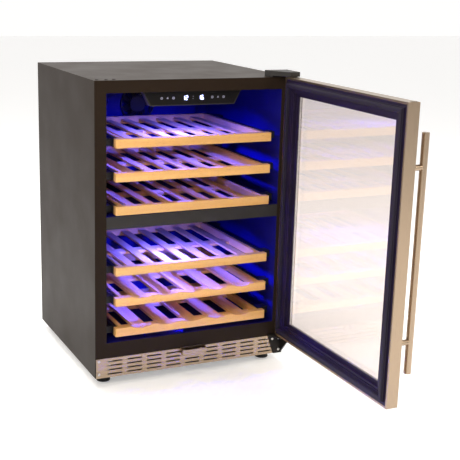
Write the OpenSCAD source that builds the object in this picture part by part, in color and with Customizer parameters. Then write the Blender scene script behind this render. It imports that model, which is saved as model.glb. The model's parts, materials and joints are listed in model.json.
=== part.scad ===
// Dual-zone under-counter wine cooler with a right-hinged glass door and six sliding wooden shelves.
// Frame: X to the right seen from the front, -Y towards the front, +Z up.
// Origin: on the floor, under the centre of the cabinet's footprint. Millimetres.
// The rest pose has the door standing open by door_rest_angle and every shelf pushed in.

/* [Cabinet] */
// Width of the cabinet
cabinet_w = 595; // [500:1:720]
// Depth of the cabinet, without its door
cabinet_d = 550; // [500:1:700]
// Height of the cabinet from its base plate to its top
cabinet_h = 838; // [780:1:1020]
// Gap between the floor and the base plate with the feet screwed in
foot_gap = 26; // [20:1:40]
// Thickness of the insulated side walls
side_wall = 33.5; // [25:0.5:45]
// Thickness of the insulated top wall
top_wall = 34; // [25:0.5:45]
// Thickness of the outer sheet steel
sheet_t = 1.2; // [0.8:0.1:2]
// Thickness of the front frame
frame_t = 1.5; // [1:0.1:3]
// Height of the dark rail between the kick grille and the lower zone
lower_rail_h = 45; // [30:1:70]
// Thickness of the moulded inner liners
liner_t = 1.5; // [1:0.1:3]

/* [Zones] */
// Clear height of the upper zone
upper_zone_h = 337; // [290:1:420]
// Height of the divider between the zones
divider_h = 36; // [20:1:60]
// Depth from the front face to the back wall of the liners
zone_depth = 515; // [480:1:540]
// Height of the step that clears the compressor, above the lower zone's floor
step_h = 92; // [80:1:110]
// Depth from the front face to the step
step_front = 345; // [330:1:400]

/* [Shelves] */
// Height of a shelf's front rail
rail_h = 25; // [18:0.5:35]
// Thickness of a shelf's front rail
rail_t = 20; // [12:1:30]
// Gap between a front rail's end and the side of the opening
rail_end_gap = 27; // [20:1:40]
// Depth of a full shelf
shelf_d = 435; // [380:5:440]
// Depth of the short shelf in front of the step
short_shelf_d = 325; // [280:5:330]
// Height of the lowest upper shelf's top above its zone floor
upper_first = 27; // [26:1:50]
// Height of the lowest lower shelf's top above its zone floor
lower_first = 39.5; // [30:1:60]
// Room above the top shelf of the upper zone
upper_headroom = 124; // [110:1:160]
// Room above the top shelf of the lower zone
lower_headroom = 111; // [90:1:150]
// Thickness of a narrow slat
slat_t = 6.5; // [5:0.5:7.5]
// Width of a narrow slat
slat_w = 25; // [18:1:36]
// Distance between the middles of narrow slats
slat_pitch = 58; // [50:1:60]
// Depth of the narrow slats' tops below the front rail's top
slat_drop = 8.5; // [4:0.5:9]
// Thickness of a wide dished slat
wide_slat_t = 10; // [8:0.5:12]
// Width of a wide dished slat
wide_slat_w = 40; // [34:1:50]
// Distance between the middles of wide slats
wide_pitch = 79; // [70:1:84]
// Depth of the wide slats' edges below the front rail's top
wide_drop = 3; // [1:0.5:5]
// Radius of the dish in a wide slat
dish_r = 90; // [60:1:120]
// Width of the strips along a rack's sides
strip_w = 12; // [8:0.5:18]
// Width of the cross bar under the slats
cross_bar_w = 39; // [20:1:50]
// Distance from a rack's front to its cross bar
cross_bar_y = 204; // [150:1:230]
// Height of a telescopic slide
slide_h = 24; // [18:1:24.5]
// Thickness of a telescopic slide
slide_t = 13; // [10:0.5:16]

/* [Kick grille] */
// Height of the kick grille
grille_h = 57.5; // [45:0.5:80]
// Thickness of the kick grille
grille_t = 1.2; // [0.8:0.1:2]
// Columns of slots
slot_columns = 9; // [5:2:11]
// Rows of slots
slot_rows = 4; // [3:1:5]
// Distance between slot columns
slot_pitch_x = 60; // [54:0.5:66]
// Distance between slot rows
slot_pitch_z = 12.5; // [9:0.5:14]
// Length of a slot
slot_l = 45; // [30:0.5:50]
// Height of a slot
slot_h = 4; // [2.5:0.1:6]
// Width of the lock keeper
keeper_w = 76; // [60:1:90]
// Depth of the lock keeper
keeper_d = 17; // [15:0.5:24]

/* [Door] */
// Angle at which the door stands open in the rest pose
door_rest_angle = 90; // [0:1:115]
// Thickness of the door's steel casing
door_t = 34; // [30:0.5:45]
// Gap between the door casing and the cabinet when shut
door_gap = 9; // [6:0.5:14]
// Step in of the door from the cabinet's side, each side
door_side_inset = 1.5; // [0:0.5:4]
// Gap between the kick grille and the door
door_bottom_gap = 11.5; // [9:0.5:16]
// Rise of the door above the cabinet's top
door_rise = 3; // [0:0.5:4]
// Width of the steel stiles
stile_w = 52; // [44:1:70]
// Width of the steel top and bottom bars
bar_w = 44; // [40:1:60]
// Width hidden by the inner frame at the sides of the glass
inner_stile_w = 62; // [56:1:80]
// Width hidden by the inner frame above and below the glass
inner_bar_w = 50; // [48:1:64]
// Thickness of each glass pane
pane_t = 4; // [3:0.5:6]
// Gap between the two panes
pane_gap = 9; // [6:0.5:12]
// Distance of the hinge axis from the door's side
pivot_edge = 11; // [11:0.5:14]
// Distance of the hinge axis from the casing's inner face
pivot_depth = 22.5; // [18:0.5:24]
// Radius of the hinge pins
pin_r = 4; // [3:0.1:5]

/* [Handle] */
// Diameter of the handle tube
handle_d = 19; // [14:0.5:26]
// Length of the handle tube
handle_l = 618; // [400:1:700]
// Distance between the handle posts
post_pitch = 448; // [300:1:520]
// Diameter of a handle post
post_d = 15; // [10:0.5:18]
// Distance of the handle's axis from the door's outer face
handle_reach = 42; // [35:0.5:60]
// Distance of the handle's axis from the door's free side
handle_edge = 26.5; // [20:0.5:40]

/* [Feet] */
// Radius of a foot pad
foot_r = 20; // [15:0.5:26]
// Radius of a foot stud
stud_r = 4.9; // [3.9:0.1:6]
// Distance of a foot's axis from the cabinet's side
foot_inset_x = 40; // [34:1:60]
// Distance of a foot's axis from the cabinet's front and back
foot_inset_y = 50; // [40:1:80]
// Travel of a foot
foot_travel = 20; // [10:1:25]

/* [Fans] */
// Radius of a fan opening
fan_hole_r = 50; // [44:1:56]
// Radius of a fan rotor
fan_r = 46; // [38:1:48]
// Distance of a fan's axis below its zone's ceiling
fan_drop = 92; // [84:1:100]
// Radius of a fan guard
guard_r = 56; // [52:1:60]

/* [Hidden] */
$fn = 48;
eps = 1;

// Clearances
running_gap = 0.05;   // radial, between a pin or stud and its hole
free_gap = 0.3;       // between pieces of different bodies that pass each other

// Heights and places of the cabinet
half_w = cabinet_w / 2;
front_y = -cabinet_d / 2;
back_y = cabinet_d / 2;
base_z = foot_gap;
top_z = base_z + cabinet_h;
grille_top = base_z + grille_h;
open_half = half_w - side_wall;
open_bottom = grille_top + lower_rail_h;
open_top = top_z - top_wall;
divider_top = open_top - upper_zone_h;
divider_bottom = divider_top - divider_h;
inner_half = half_w - sheet_t;
base_t = 2;
zone_back = front_y + zone_depth;
floor_foam = 30;
step_z = open_bottom + step_h;
bay_front = front_y + step_front + liner_t + 15;

// Shelf levels, from the top shelf down
upper_pitch = (upper_zone_h - upper_first - upper_headroom) / 2;
lower_zone_h = divider_bottom - open_bottom;
lower_pitch = (lower_zone_h - lower_first - lower_headroom) / 2;
shelf_top = [
    for (i = [2 : -1 : 0]) divider_top + upper_first + i * upper_pitch,
    for (i = [2 : -1 : 0]) open_bottom + lower_first + i * lower_pitch
];
shelf_depth = [for (i = [0 : 5]) i == 5 ? short_shelf_d : shelf_d];
shelf_is_wide = [false, false, false, false, true, true];
rail_half = open_half - rail_end_gap;
rack_half = rail_half - slide_t - 2;
slide_clear_front = 3;
slide_clear_back = 10;
channel_t = 1.5;
ball_gap = 2;

// Door places, as if it were shut
door_half = half_w - door_side_inset;
door_in_y = front_y - door_gap;
door_out_y = door_in_y - door_t;
door_bottom = grille_top + door_bottom_gap;
door_top = top_z + door_rise;
pivot_x = door_half - pivot_edge;
pivot_y = door_in_y - pivot_depth;
casing_t = 1.5;
lip_w = 6;
glass_stile = stile_w - 10;
glass_bar = bar_w - 10;
gasket_edge = pivot_edge + 3;
gasket_w = 16;
outer_pane_y = door_out_y + casing_t;
inner_pane_y = outer_pane_y + pane_t + pane_gap;
pane_in_y = inner_pane_y + pane_t;
bush_r = 7;
bush_l = 20;
bush_flange_r = 8;
bush_flange_t = 2.5;

// Lock places
lock_z = door_bottom + 22;
barrel_r = 8;
tongue_l = 42;
tongue_w = 10;
tongue_t = 2.5;
tongue_y = door_in_y - 6;
keeper_top = grille_top;
keeper_wall = 1.5;

// Hinge hardware
bracket_t = 4;
arm_z = door_top + bush_flange_t + 0.5;
cover_h = 18;
hinge_inner_x = half_w - 73.5;
screw_r = 2;
head_r = 4;
head_h = 2.2;
top_screw_x = [half_w - 62, half_w - 40, half_w - 14];
top_screw_y = front_y + 22;
leg_front_y = front_y - grille_t - bracket_t;
leg_screws = [[half_w - 12, base_z + 12], [half_w - 12, base_z + 48], [half_w - 34, base_z + 48]];
lower_plate_top = door_bottom - bush_flange_t - free_gap - 3;
hinge_reach = pivot_depth + door_gap + 11.5;

// Fans, filter and lights
duct_front_y = zone_back - 45;
duct_half = open_half - 59;
duct_t = 2;
upper_fan_z = open_top - fan_drop;
lower_fan_z = divider_bottom - fan_drop;
stub_r = 3;
guard_t = 8;

// Machine compartment
bay_floor_z = base_z + base_t;
bay_top_z = step_z - liner_t - 15;
condenser_fan_x = 40;
condenser_fan_y = bay_front + 75;
condenser_fan_z = bay_floor_z + 70;

// A box from its lowest corner to its highest corner
module block(low, high) {
    translate(low) cube(high - low);
}

// A rod along Z from z0 to z1
module rod(x, y, z0, z1, r) {
    translate([x, y, z0]) cylinder(h = z1 - z0, r = r);
}

// A rod along Y from y0 to y1
module rod_y(x, z, y0, y1, r) {
    translate([x, y1, z]) rotate([90, 0, 0]) cylinder(h = y1 - y0, r = r);
}

// A rod along X from x0 to x1
module rod_x(y, z, x0, x1, r) {
    translate([x0, y, z]) rotate([0, 90, 0]) cylinder(h = x1 - x0, r = r);
}

// Both mirror images of a piece about the cabinet's middle
module both_sides() {
    children();
    mirror([1, 0, 0]) children();
}

// Turns a piece of the shut door to the angle of the rest pose
module on_door() {
    translate([pivot_x, pivot_y, 0]) rotate([0, 0, door_rest_angle])
        translate([-pivot_x, -pivot_y, 0]) children();
}

// ---- Casing ----

module cabinet_shell() {
    color("#3a332d") difference() {
        block([-half_w, front_y, base_z], [half_w, back_y, top_z]);
        block([-inner_half, front_y - eps, base_z - eps], [inner_half, back_y + eps, top_z - sheet_t]);
        both_sides() for (x = top_screw_x) rod(x, top_screw_y, top_z - sheet_t - eps, top_z + eps, screw_r);
    }
}

module front_frame() {
    color("#302b27") difference() {
        block([-inner_half, front_y, grille_top], [inner_half, front_y + frame_t, top_z - sheet_t]);
        block([-open_half, front_y - eps, open_bottom], [open_half, front_y + frame_t + eps, open_top]);
    }
}

module rear_panel() {
    vent_rows = 6;
    color("#2c2c2e") difference() {
        block([-inner_half, back_y - sheet_t, bay_floor_z], [inner_half, back_y, top_z - sheet_t]);
        for (row = [0 : vent_rows - 1], x = [-120, -40, 40, 120])
            block([x - 30, back_y - sheet_t - eps, bay_floor_z + 40 + row * 16],
                  [x + 30, back_y + eps, bay_floor_z + 45 + row * 16]);
        block([-234, back_y - sheet_t - eps, bay_floor_z + 31], [-206, back_y + eps, bay_floor_z + 51]);
    }
}

foot_x = half_w - foot_inset_x;
foot_y = back_y - foot_inset_y;
boss_h = 12;

module base_plate() {
    brace_y = front_y + 2.5;
    color("#a9aaac") difference() {
        union() {
            block([-inner_half, front_y + 1, base_z], [inner_half, back_y - sheet_t, bay_floor_z]);
            for (x = [-foot_x, foot_x], y = [-foot_y, foot_y]) rod(x, y, base_z, bay_floor_z + boss_h, 10);
            both_sides() translate([0, brace_y + 1.5, 0]) rotate([90, 0, 0]) linear_extrude(1.5) polygon([
                [-inner_half, base_z], [-inner_half + 34, base_z],
                [-inner_half + 54, grille_top - 1], [-inner_half, grille_top - 1]
            ]);
        }
        for (x = [-foot_x, foot_x], y = [-foot_y, foot_y])
            rod(x, y, base_z - eps, bay_floor_z + boss_h + eps, stud_r + running_gap);
        for (p = concat(grille_screws, leg_screws)) rod_y(p[0], p[1], brace_y - eps, brace_y + 3, screw_r);
    }
}

module insulation_foam() {
    under_z = open_bottom - liner_t - floor_foam;
    color("#e8d9a8") difference() {
        block([-inner_half, front_y + frame_t, under_z], [inner_half, back_y - sheet_t, top_z - sheet_t]);
        block([-open_half - liner_t, front_y + frame_t - eps, step_z - liner_t],
              [open_half + liner_t, zone_back + liner_t, open_top + liner_t]);
        block([-open_half - liner_t, front_y + frame_t - eps, open_bottom - liner_t],
              [open_half + liner_t, front_y + step_front + liner_t, step_z]);
        block([-inner_half - eps, bay_front, under_z - eps], [inner_half + eps, back_y + eps, bay_top_z]);
        both_sides() for (x = top_screw_x) rod(x, top_screw_y, top_z - 12, top_z, screw_r);
    }
}

module upper_liner() {
    color("#16161c") difference() {
        block([-open_half - liner_t, front_y + frame_t, divider_top - liner_t],
              [open_half + liner_t, zone_back + liner_t, open_top + liner_t]);
        block([-open_half, front_y + frame_t - eps, divider_top], [open_half, zone_back, open_top]);
    }
}

module lower_liner() {
    color("#16161c") difference() {
        block([-open_half - liner_t, front_y + frame_t, open_bottom - liner_t],
              [open_half + liner_t, zone_back + liner_t, divider_bottom + liner_t]);
        block([-open_half, front_y + frame_t - eps, open_bottom],
              [open_half, front_y + step_front, divider_bottom]);
        block([-open_half, front_y + frame_t, step_z], [open_half, zone_back, divider_bottom]);
        block([-open_half - liner_t - eps, front_y + step_front + liner_t, open_bottom - liner_t - eps],
              [open_half + liner_t + eps, zone_back + liner_t + eps, step_z - liner_t]);
    }
}

module zone_divider() {
    color("#211e1d") union() {
        block([-open_half, front_y, divider_bottom], [open_half, front_y + frame_t, divider_top]);
        block([-open_half, front_y + frame_t, divider_bottom + liner_t],
              [open_half, zone_back, divider_top - liner_t]);
    }
}

// ---- Cold side ----

duct_slot_pitch = 36;
duct_slot_l = 24;
duct_slot_h = 6;
duct_slot_z = 14;

module duct_tray(z0, z1, fan_z) {
    difference() {
        block([-duct_half, duct_front_y, z0], [duct_half, zone_back, z1]);
        block([-duct_half + duct_t, duct_front_y + duct_t, z0 + duct_t],
              [duct_half - duct_t, zone_back + eps, z1 - duct_t]);
        rod_y(0, fan_z, duct_front_y - eps, duct_front_y + duct_t + eps, fan_hole_r);
        for (i = [-3 : 3])
            block([i * duct_slot_pitch - duct_slot_l / 2, duct_front_y - eps, z0 + duct_slot_z],
                  [i * duct_slot_pitch + duct_slot_l / 2, duct_front_y + duct_t + eps, z0 + duct_slot_z + duct_slot_h]);
    }
}

module duct_panels() {
    color("#17171f") {
        duct_tray(divider_top + 6, open_top - 6, upper_fan_z);
        duct_tray(step_z + 3, divider_bottom - 6, lower_fan_z);
    }
}

module evaporator_block(fan_z) {
    below_fan = 58;
    coil_h = 62;
    coil_d = 28;
    wall_gap = 6;
    fin_pitch = 14;
    fin_t = 1;
    tube_pitch = 19;
    tube_half = 152;
    tube_r = 4;
    z1 = fan_z - below_fan;
    z0 = z1 - coil_h;
    y1 = zone_back - wall_gap;
    y0 = y1 - coil_d;
    for (i = [-10 : 10]) block([i * fin_pitch - fin_t / 2, y0, z0], [i * fin_pitch + fin_t / 2, y1, z1]);
    for (i = [-1 : 1]) rod_x((y0 + y1) / 2, (z0 + z1) / 2 + i * tube_pitch, -tube_half, tube_half, tube_r);
}

module evaporator_coils() {
    color("#c2c5c8") {
        evaporator_block(upper_fan_z);
        evaporator_block(lower_fan_z);
    }
}

guard_hub_r = 25;
stub_l = 30;

module fan_guard(fan_z) {
    front = duct_front_y - guard_t;
    difference() {
        rod_y(0, fan_z, front, duct_front_y, guard_r);
        rod_y(0, fan_z, front - eps, duct_front_y + eps, guard_r - 4);
    }
    rod_y(0, fan_z, front, front + 3, guard_hub_r);
    rod_y(0, fan_z, front, duct_front_y + stub_l, stub_r);
    for (a = [0 : 15 : 345]) translate([0, 0, fan_z]) rotate([0, a, 0]) translate([guard_hub_r - 3, front, 0])
        rotate([0, 38, 0]) cube([37.5, 4, 1]);
}

module fan_guards() {
    color("#1b1b26") {
        fan_guard(upper_fan_z);
        fan_guard(lower_fan_z);
    }
}

// An axial fan rotor with its axis on Z, its bore through z = 0 to hub_h
module rotor(hub_h, r, blades) {
    hub_r = 17;
    difference() {
        union() {
            cylinder(h = hub_h, r = hub_r);
            for (a = [0 : 360 / blades : 359]) rotate([0, 0, a]) translate([hub_r - 3, 0, hub_h / 2])
                rotate([32, 0, 0]) translate([0, -11, -0.8]) cube([r - hub_r + 2, 22, 1.6]);
        }
        translate([0, 0, -eps]) cylinder(h = hub_h + 2 * eps, r = stub_r + running_gap);
    }
}

module duct_fan_rotor(fan_z) {
    color("#2b2b33") translate([0, duct_front_y + 22, fan_z]) rotate([90, 0, 0]) rotor(16, fan_r, 7);
}

module upper_fan_rotor() {
    duct_fan_rotor(upper_fan_z);
}

module lower_fan_rotor() {
    duct_fan_rotor(lower_fan_z);
}

filter_x = -126;
filter_r = 30;
filter_t = 9;

module carbon_filter() {
    filter_z = upper_fan_z + 10;
    color("#20202c") difference() {
        rod_y(filter_x, filter_z, duct_front_y - filter_t, duct_front_y, filter_r);
        rod_y(filter_x, filter_z, duct_front_y - filter_t - eps, duct_front_y - filter_t + 3, filter_r - 5);
    }
}

lamp_y = front_y + 66;

module zone_lights() {
    color("#5b5cff") for (z = [open_top, divider_bottom])
        block([-115, lamp_y, z - 8], [115, lamp_y + 20, z]);
}

control_y = front_y + 30;
control_h = 42;
control_top_half = 150;
control_bottom_half = 128;
control_rim = 2.5;

// The tapered outline of the control panel, drawn back by a margin
module control_outline(margin) {
    polygon([
        [-control_bottom_half + margin, margin], [control_bottom_half - margin, margin],
        [control_top_half - margin * 1.5, control_h - margin],
        [-control_top_half + margin * 1.5, control_h - margin]
    ]);
}

module control_housing() {
    housing_d = 22;
    color("#1c1a19") translate([0, control_y, open_top - control_h]) rotate([90, 0, 0])
        translate([0, 0, -housing_d]) difference() {
            linear_extrude(housing_d) control_outline(0);
            translate([0, 0, housing_d - 2]) linear_extrude(2 + eps) control_outline(control_rim);
            translate([0, 0, -eps]) linear_extrude(housing_d - 5) control_outline(control_rim);
        }
}

module control_face() {
    color("#0d0d10") translate([0, control_y, open_top - control_h]) rotate([90, 0, 0])
        translate([0, 0, -2]) linear_extrude(1.6) control_outline(control_rim);
}

// ---- Kick grille, keeper and screws ----

module slot_cut(x, z) {
    reach = slot_l / 2 - slot_h / 2;
    block([x - reach, front_y - grille_t - eps, z - slot_h / 2], [x + reach, front_y + eps, z + slot_h / 2]);
    for (side = [-1, 1]) rod_y(x + side * reach, z, front_y - grille_t - eps, front_y + eps, slot_h / 2);
}

grille_half = half_w - 2;
grille_screws = [[-half_w + 10, base_z + 12], [-half_w + 10, base_z + 51]];
keeper_screws = [[-26, keeper_top - 9], [26, keeper_top - 9]];

module kick_grille() {
    middle = floor(slot_columns / 2);
    low_row_z = base_z + (grille_h - (slot_rows - 1) * slot_pitch_z) / 2;
    color("#c8bfb4") difference() {
        block([-grille_half, front_y - grille_t, base_z], [grille_half, front_y, grille_top]);
        for (column = [-middle : middle], row = [0 : slot_rows - 1])
            if (column != 0 || row < slot_rows - 2) slot_cut(column * slot_pitch_x, low_row_z + row * slot_pitch_z);
        for (p = concat(grille_screws, keeper_screws, leg_screws))
            rod_y(p[0], p[1], front_y - grille_t - eps, front_y + eps, screw_r);
    }
}

module lock_keeper() {
    back = front_y - grille_t;
    drop = 17;
    color("#d6d0c8") difference() {
        block([-keeper_w / 2, back - keeper_d, keeper_top - drop], [keeper_w / 2, back, keeper_top + 3]);
        block([-keeper_w / 2 + keeper_wall, back - keeper_d + keeper_wall, keeper_top - drop + keeper_wall],
              [keeper_w / 2 - keeper_wall, back - keeper_wall, keeper_top + 3 + eps]);
        // the cheeks slope down from the grille to the lower front wall
        translate([-keeper_w / 2 - eps, back, keeper_top + 3]) rotate([90, 0, 90]) linear_extrude(keeper_w + 2 * eps)
            polygon([[-keeper_wall, eps], [-keeper_wall, 0], [-keeper_d, -5], [-keeper_d - eps, -5], [-keeper_d - eps, eps]]);
        for (p = keeper_screws) rod_y(p[0], p[1], back - keeper_wall - eps, back + eps, screw_r);
    }
}

// A pan head screw along -Y with its head's seat at y
module front_screw(x, z, y) {
    rod_y(x, z, y - head_h, y, head_r);
    rod_y(x, z, y, y + 10, screw_r);
}

module cabinet_screws() {
    color("#b9b4ae") {
        for (p = grille_screws) front_screw(p[0], p[1], front_y - grille_t);
        for (p = keeper_screws) front_screw(p[0], p[1], front_y - grille_t - keeper_wall);
        for (p = leg_screws) front_screw(p[0], p[1], leg_front_y);
        for (x = top_screw_x) {
            rod(x, top_screw_y, top_z + bracket_t, top_z + bracket_t + head_h, head_r);
            rod(x, top_screw_y, top_z + bracket_t - 10, top_z + bracket_t, screw_r);
        }
    }
}

// ---- Hinges ----

cover_wall = 2;
hinge_front_y = front_y - hinge_reach;

// The plan of the upper hinge, drawn in by a margin
module hinge_plan(margin) {
    polygon([
        [hinge_inner_x + margin, front_y + 8 + margin * 0.4],
        [half_w - 32 + margin * 0.8, hinge_front_y + margin],
        [half_w - 0.5 - margin, hinge_front_y + margin],
        [half_w - 0.5 - margin, front_y + 34 - margin],
        [hinge_inner_x + margin, front_y + 34 - margin]
    ]);
}

module upper_hinge_bracket() {
    color("#3b3b3d") difference() {
        union() {
            intersection() {
                translate([0, 0, top_z]) linear_extrude(bracket_t) hinge_plan(cover_wall + 0.5);
                block([0, front_y + 1, top_z], [half_w, back_y, top_z + bracket_t]);
            }
            intersection() {
                translate([0, 0, top_z]) linear_extrude(arm_z + bracket_t - top_z) hinge_plan(cover_wall + 0.5);
                block([0, front_y + 1, top_z], [half_w, front_y + 5, arm_z + bracket_t]);
            }
            intersection() {
                translate([0, 0, arm_z]) linear_extrude(bracket_t) hinge_plan(cover_wall + 0.5);
                block([0, hinge_front_y, arm_z], [half_w, front_y + 5, arm_z + bracket_t]);
            }
        }
        for (x = top_screw_x) rod(x, top_screw_y, top_z - eps, top_z + bracket_t + eps, screw_r);
        rod(pivot_x, pivot_y, arm_z - eps, arm_z + bracket_t + eps, pin_r);
    }
}

module upper_hinge_cover() {
    color("#232120") difference() {
        translate([0, 0, top_z]) linear_extrude(cover_h) hinge_plan(0);
        translate([0, 0, top_z - eps]) linear_extrude(cover_h + eps - cover_wall) hinge_plan(cover_wall);
        block([0, hinge_front_y - eps, top_z - eps], [half_w + eps, front_y, door_top + 1.5]);
    }
}

module lower_hinge_bracket() {
    plate_z = lower_plate_top - bracket_t;
    outer_x = half_w - 0.5;
    face = front_y - grille_t;
    color("#262322") difference() {
        union() {
            translate([0, face, 0]) rotate([90, 0, 0]) linear_extrude(bracket_t) polygon([
                [half_w - 49, lower_plate_top], [outer_x, lower_plate_top], [outer_x, base_z], [half_w - 28, base_z]
            ]);
            translate([0, 0, plate_z]) linear_extrude(bracket_t) polygon([
                [half_w - 49, face], [half_w - 27, hinge_front_y], [outer_x, hinge_front_y], [outer_x, face]
            ]);
            translate([outer_x - bracket_t, 0, 0]) rotate([90, 0, 90]) linear_extrude(bracket_t) polygon([
                [face, base_z], [hinge_front_y, plate_z - 12], [hinge_front_y, lower_plate_top], [face, lower_plate_top]
            ]);
        }
        for (p = leg_screws) rod_y(p[0], p[1], leg_front_y - eps, face + eps, screw_r);
        rod(pivot_x, pivot_y, plate_z - eps, lower_plate_top + eps, pin_r);
    }
}

module hinge_pins() {
    pin_in = 17;
    collar_r = 8;
    color("#9a9b9d") {
        rod(pivot_x, pivot_y, door_top - pin_in, arm_z + bracket_t + 2, pin_r);
        rod(pivot_x, pivot_y, arm_z + bracket_t, arm_z + bracket_t + 2, collar_r - 2);
        rod(pivot_x, pivot_y, lower_plate_top - bracket_t - 2, door_bottom + pin_in, pin_r);
        rod(pivot_x, pivot_y, lower_plate_top, door_bottom - bush_flange_t - free_gap, collar_r);
    }
}

module hole_plugs() {
    color("#1a1918") for (x = top_screw_x) {
        rod(-x, top_screw_y, top_z, top_z + 1.4, 4.5);
        rod(-x, top_screw_y, top_z - 5, top_z, screw_r);
    }
}

// ---- Machine compartment ----

module compressor() {
    cx = 165;
    cy = bay_front + 84;
    plate_half = [75, 70];
    plate_t = 3;
    can_r = 66;
    can_top = bay_floor_z + 112;
    pipe_r = 4;
    color("#1b1c1e") union() {
        block([cx - plate_half[0], cy - plate_half[1], bay_floor_z],
              [cx + plate_half[0], cy + plate_half[1], bay_floor_z + plate_t]);
        rod(cx, cy, bay_floor_z + plate_t, can_top, can_r);
        translate([cx, cy, can_top]) rotate_extrude()
            polygon([[0, 0], [can_r, 0], [can_r - 6, 12], [can_r - 20, 20], [0, 24]]);
        rod(cx - 50, cy, can_top + 8, can_top + 38, pipe_r);
    }
}

module condenser_coil() {
    tube_r = 3;
    riser_r = 4;
    rise = 16;
    rows = 7;
    run_x0 = -255;
    run_x1 = -30;
    z0 = bay_floor_z + 12;
    z1 = z0 + (rows - 1) * rise;
    color("#2a2a2c") for (y = [bay_front + 30, bay_front + 75, bay_front + 120]) {
        for (i = [0 : rows - 1]) rod_x(y, z0 + i * rise, run_x0, run_x1, tube_r);
        for (i = [0 : rows - 2]) rod(i % 2 == 0 ? run_x1 : run_x0, y, z0 + i * rise - 5, z0 + (i + 1) * rise + 5, riser_r);
        for (x = [run_x0 + 15 : 15 : run_x1 - 10]) block([x - 0.5, y - 9, bay_floor_z], [x + 0.5, y + 9, z1 + 8]);
    }
}

module condenser_fan_shroud() {
    half = 66;
    x0 = condenser_fan_x - 14;
    color("#1f1f22") union() {
        difference() {
            block([x0, condenser_fan_y - half, bay_floor_z], [x0 + 25, condenser_fan_y + half, bay_floor_z + 2 * half + 4]);
            rod_x(condenser_fan_y, condenser_fan_z, x0 - eps, x0 + 25 + eps, 60);
        }
        for (a = [45, 135]) translate([x0, condenser_fan_y, condenser_fan_z]) rotate([a, 0, 0])
            block([0, -64, -3], [3, 64, 3]);
        rod_x(condenser_fan_y, condenser_fan_z, x0, x0 + 3, 18);
        rod_x(condenser_fan_y, condenser_fan_z, x0, x0 + 23, stub_r);
    }
}

module condenser_fan_rotor() {
    color("#303036") translate([condenser_fan_x - 9, condenser_fan_y, condenser_fan_z]) rotate([0, 90, 0])
        rotor(16, 56, 7);
}

module drip_tray() {
    half = 120;
    wall = 2;
    tray_h = 20;
    y0 = front_y + 140;
    y1 = front_y + 300;
    color("#3c3d40") difference() {
        block([-half, y0, bay_floor_z], [half, y1, bay_floor_z + tray_h]);
        block([-half + wall, y0 + wall, bay_floor_z + wall], [half - wall, y1 - wall, bay_floor_z + tray_h + eps]);
    }
}

module power_inlet() {
    z = bay_floor_z + 41;
    color("#18181a") {
        difference() {
            union() {
                block([-244, back_y, z - 14], [-196, back_y + 3, z + 14]);
                block([-234, back_y - 20, z - 10], [-206, back_y, z + 10]);
            }
            block([-231.5, back_y - 16, z - 7.5], [-208.5, back_y + 3 + eps, z + 7.5]);
        }
        for (p = [[-220, 2.5], [-226, -2.5], [-214, -2.5]])
            block([p[0] - 1, back_y - 17, z + p[1] - 1.5], [p[0] + 1, back_y - 9, z + p[1] + 1.5]);
    }
}

// ---- Feet ----

module foot(x, y) {
    color("#161616") union() {
        rod(x, y, 0, 5, foot_r);
        rod(x, y, 5, 12, foot_r - 4);
        rod(x, y, 12, foot_gap - 3, 9);
        rod(x, y, foot_gap - 4, foot_gap + base_t + boss_h + foot_travel + 3, stud_r);
    }
}

module foot_front_left() {
    foot(-foot_x, -foot_y);
}

module foot_front_right() {
    foot(foot_x, -foot_y);
}

module foot_back_left() {
    foot(-foot_x, foot_y);
}

module foot_back_right() {
    foot(foot_x, foot_y);
}

// ---- Shelves ----

// The fixed channel of one slide, its web towards the cabinet wall, at the right-hand side
module outer_channel(top, depth) {
    z1 = top - (rail_h - slide_h) / 2;
    z0 = z1 - slide_h;
    y0 = front_y + rail_t + slide_clear_front;
    y1 = front_y + depth - slide_clear_back;
    difference() {
        block([rail_half - slide_t + 2.5, y0, z0], [rail_half, y1, z1]);
        block([rail_half - slide_t, y0 - eps, z0 + channel_t], [rail_half - channel_t, y1 + eps, z1 - channel_t]);
    }
    for (y = [y0 + 12, y1 - 42]) block([rail_half, y, z0 + 2], [open_half, y + 30, z1 - 2]);
}

module shelf_rails() {
    color("#141416") for (i = [0 : 5]) both_sides() outer_channel(shelf_top[i], shelf_depth[i]);
}

// The moving channel of one slide, its web against the rack, at the right-hand side
module inner_channel(top, depth) {
    z1 = top - (rail_h - slide_h) / 2 - channel_t - ball_gap;
    z0 = top - (rail_h + slide_h) / 2 + channel_t + ball_gap;
    y0 = front_y + rail_t;
    y1 = front_y + depth - slide_clear_back - 2;
    difference() {
        block([rack_half, y0, z0], [rail_half - channel_t - 2, y1, z1]);
        block([rack_half + channel_t, y0 - eps, z0 + channel_t], [rail_half, y1 + eps, z1 - channel_t]);
    }
}

module shelf_runners(i) {
    color("#26262a") both_sides() inner_channel(shelf_top[i], shelf_depth[i]);
}

dish_depth = 2.5;
rear_rail_t = 15;
cross_bar_t = 8;
front_bar_y = 45;
front_bar_w = 18;

// Flat slats from y0 to y1
module narrow_slats(top, y0, y1) {
    z1 = top - slat_drop;
    for (i = [-3 : 3])
        block([i * slat_pitch - slat_w / 2, y0, z1 - slat_t], [i * slat_pitch + slat_w / 2, y1, z1]);
}

// The trough that a bottle lies in, over wide slat i
module trough(i, top, y0, y1) {
    rod_y(i * wide_pitch, top - wide_drop + dish_r - dish_depth, y0 - eps, y1 + eps, dish_r, $fn = 180);
}

// Dished slats from y0 to y1
module wide_slats(top, y0, y1) {
    z1 = top - wide_drop;
    for (i = [-2 : 2]) difference() {
        block([i * wide_pitch - wide_slat_w / 2, y0, z1 - wide_slat_t], [i * wide_pitch + wide_slat_w / 2, y1, z1]);
        trough(i, top, y0, y1);
    }
}

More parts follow.
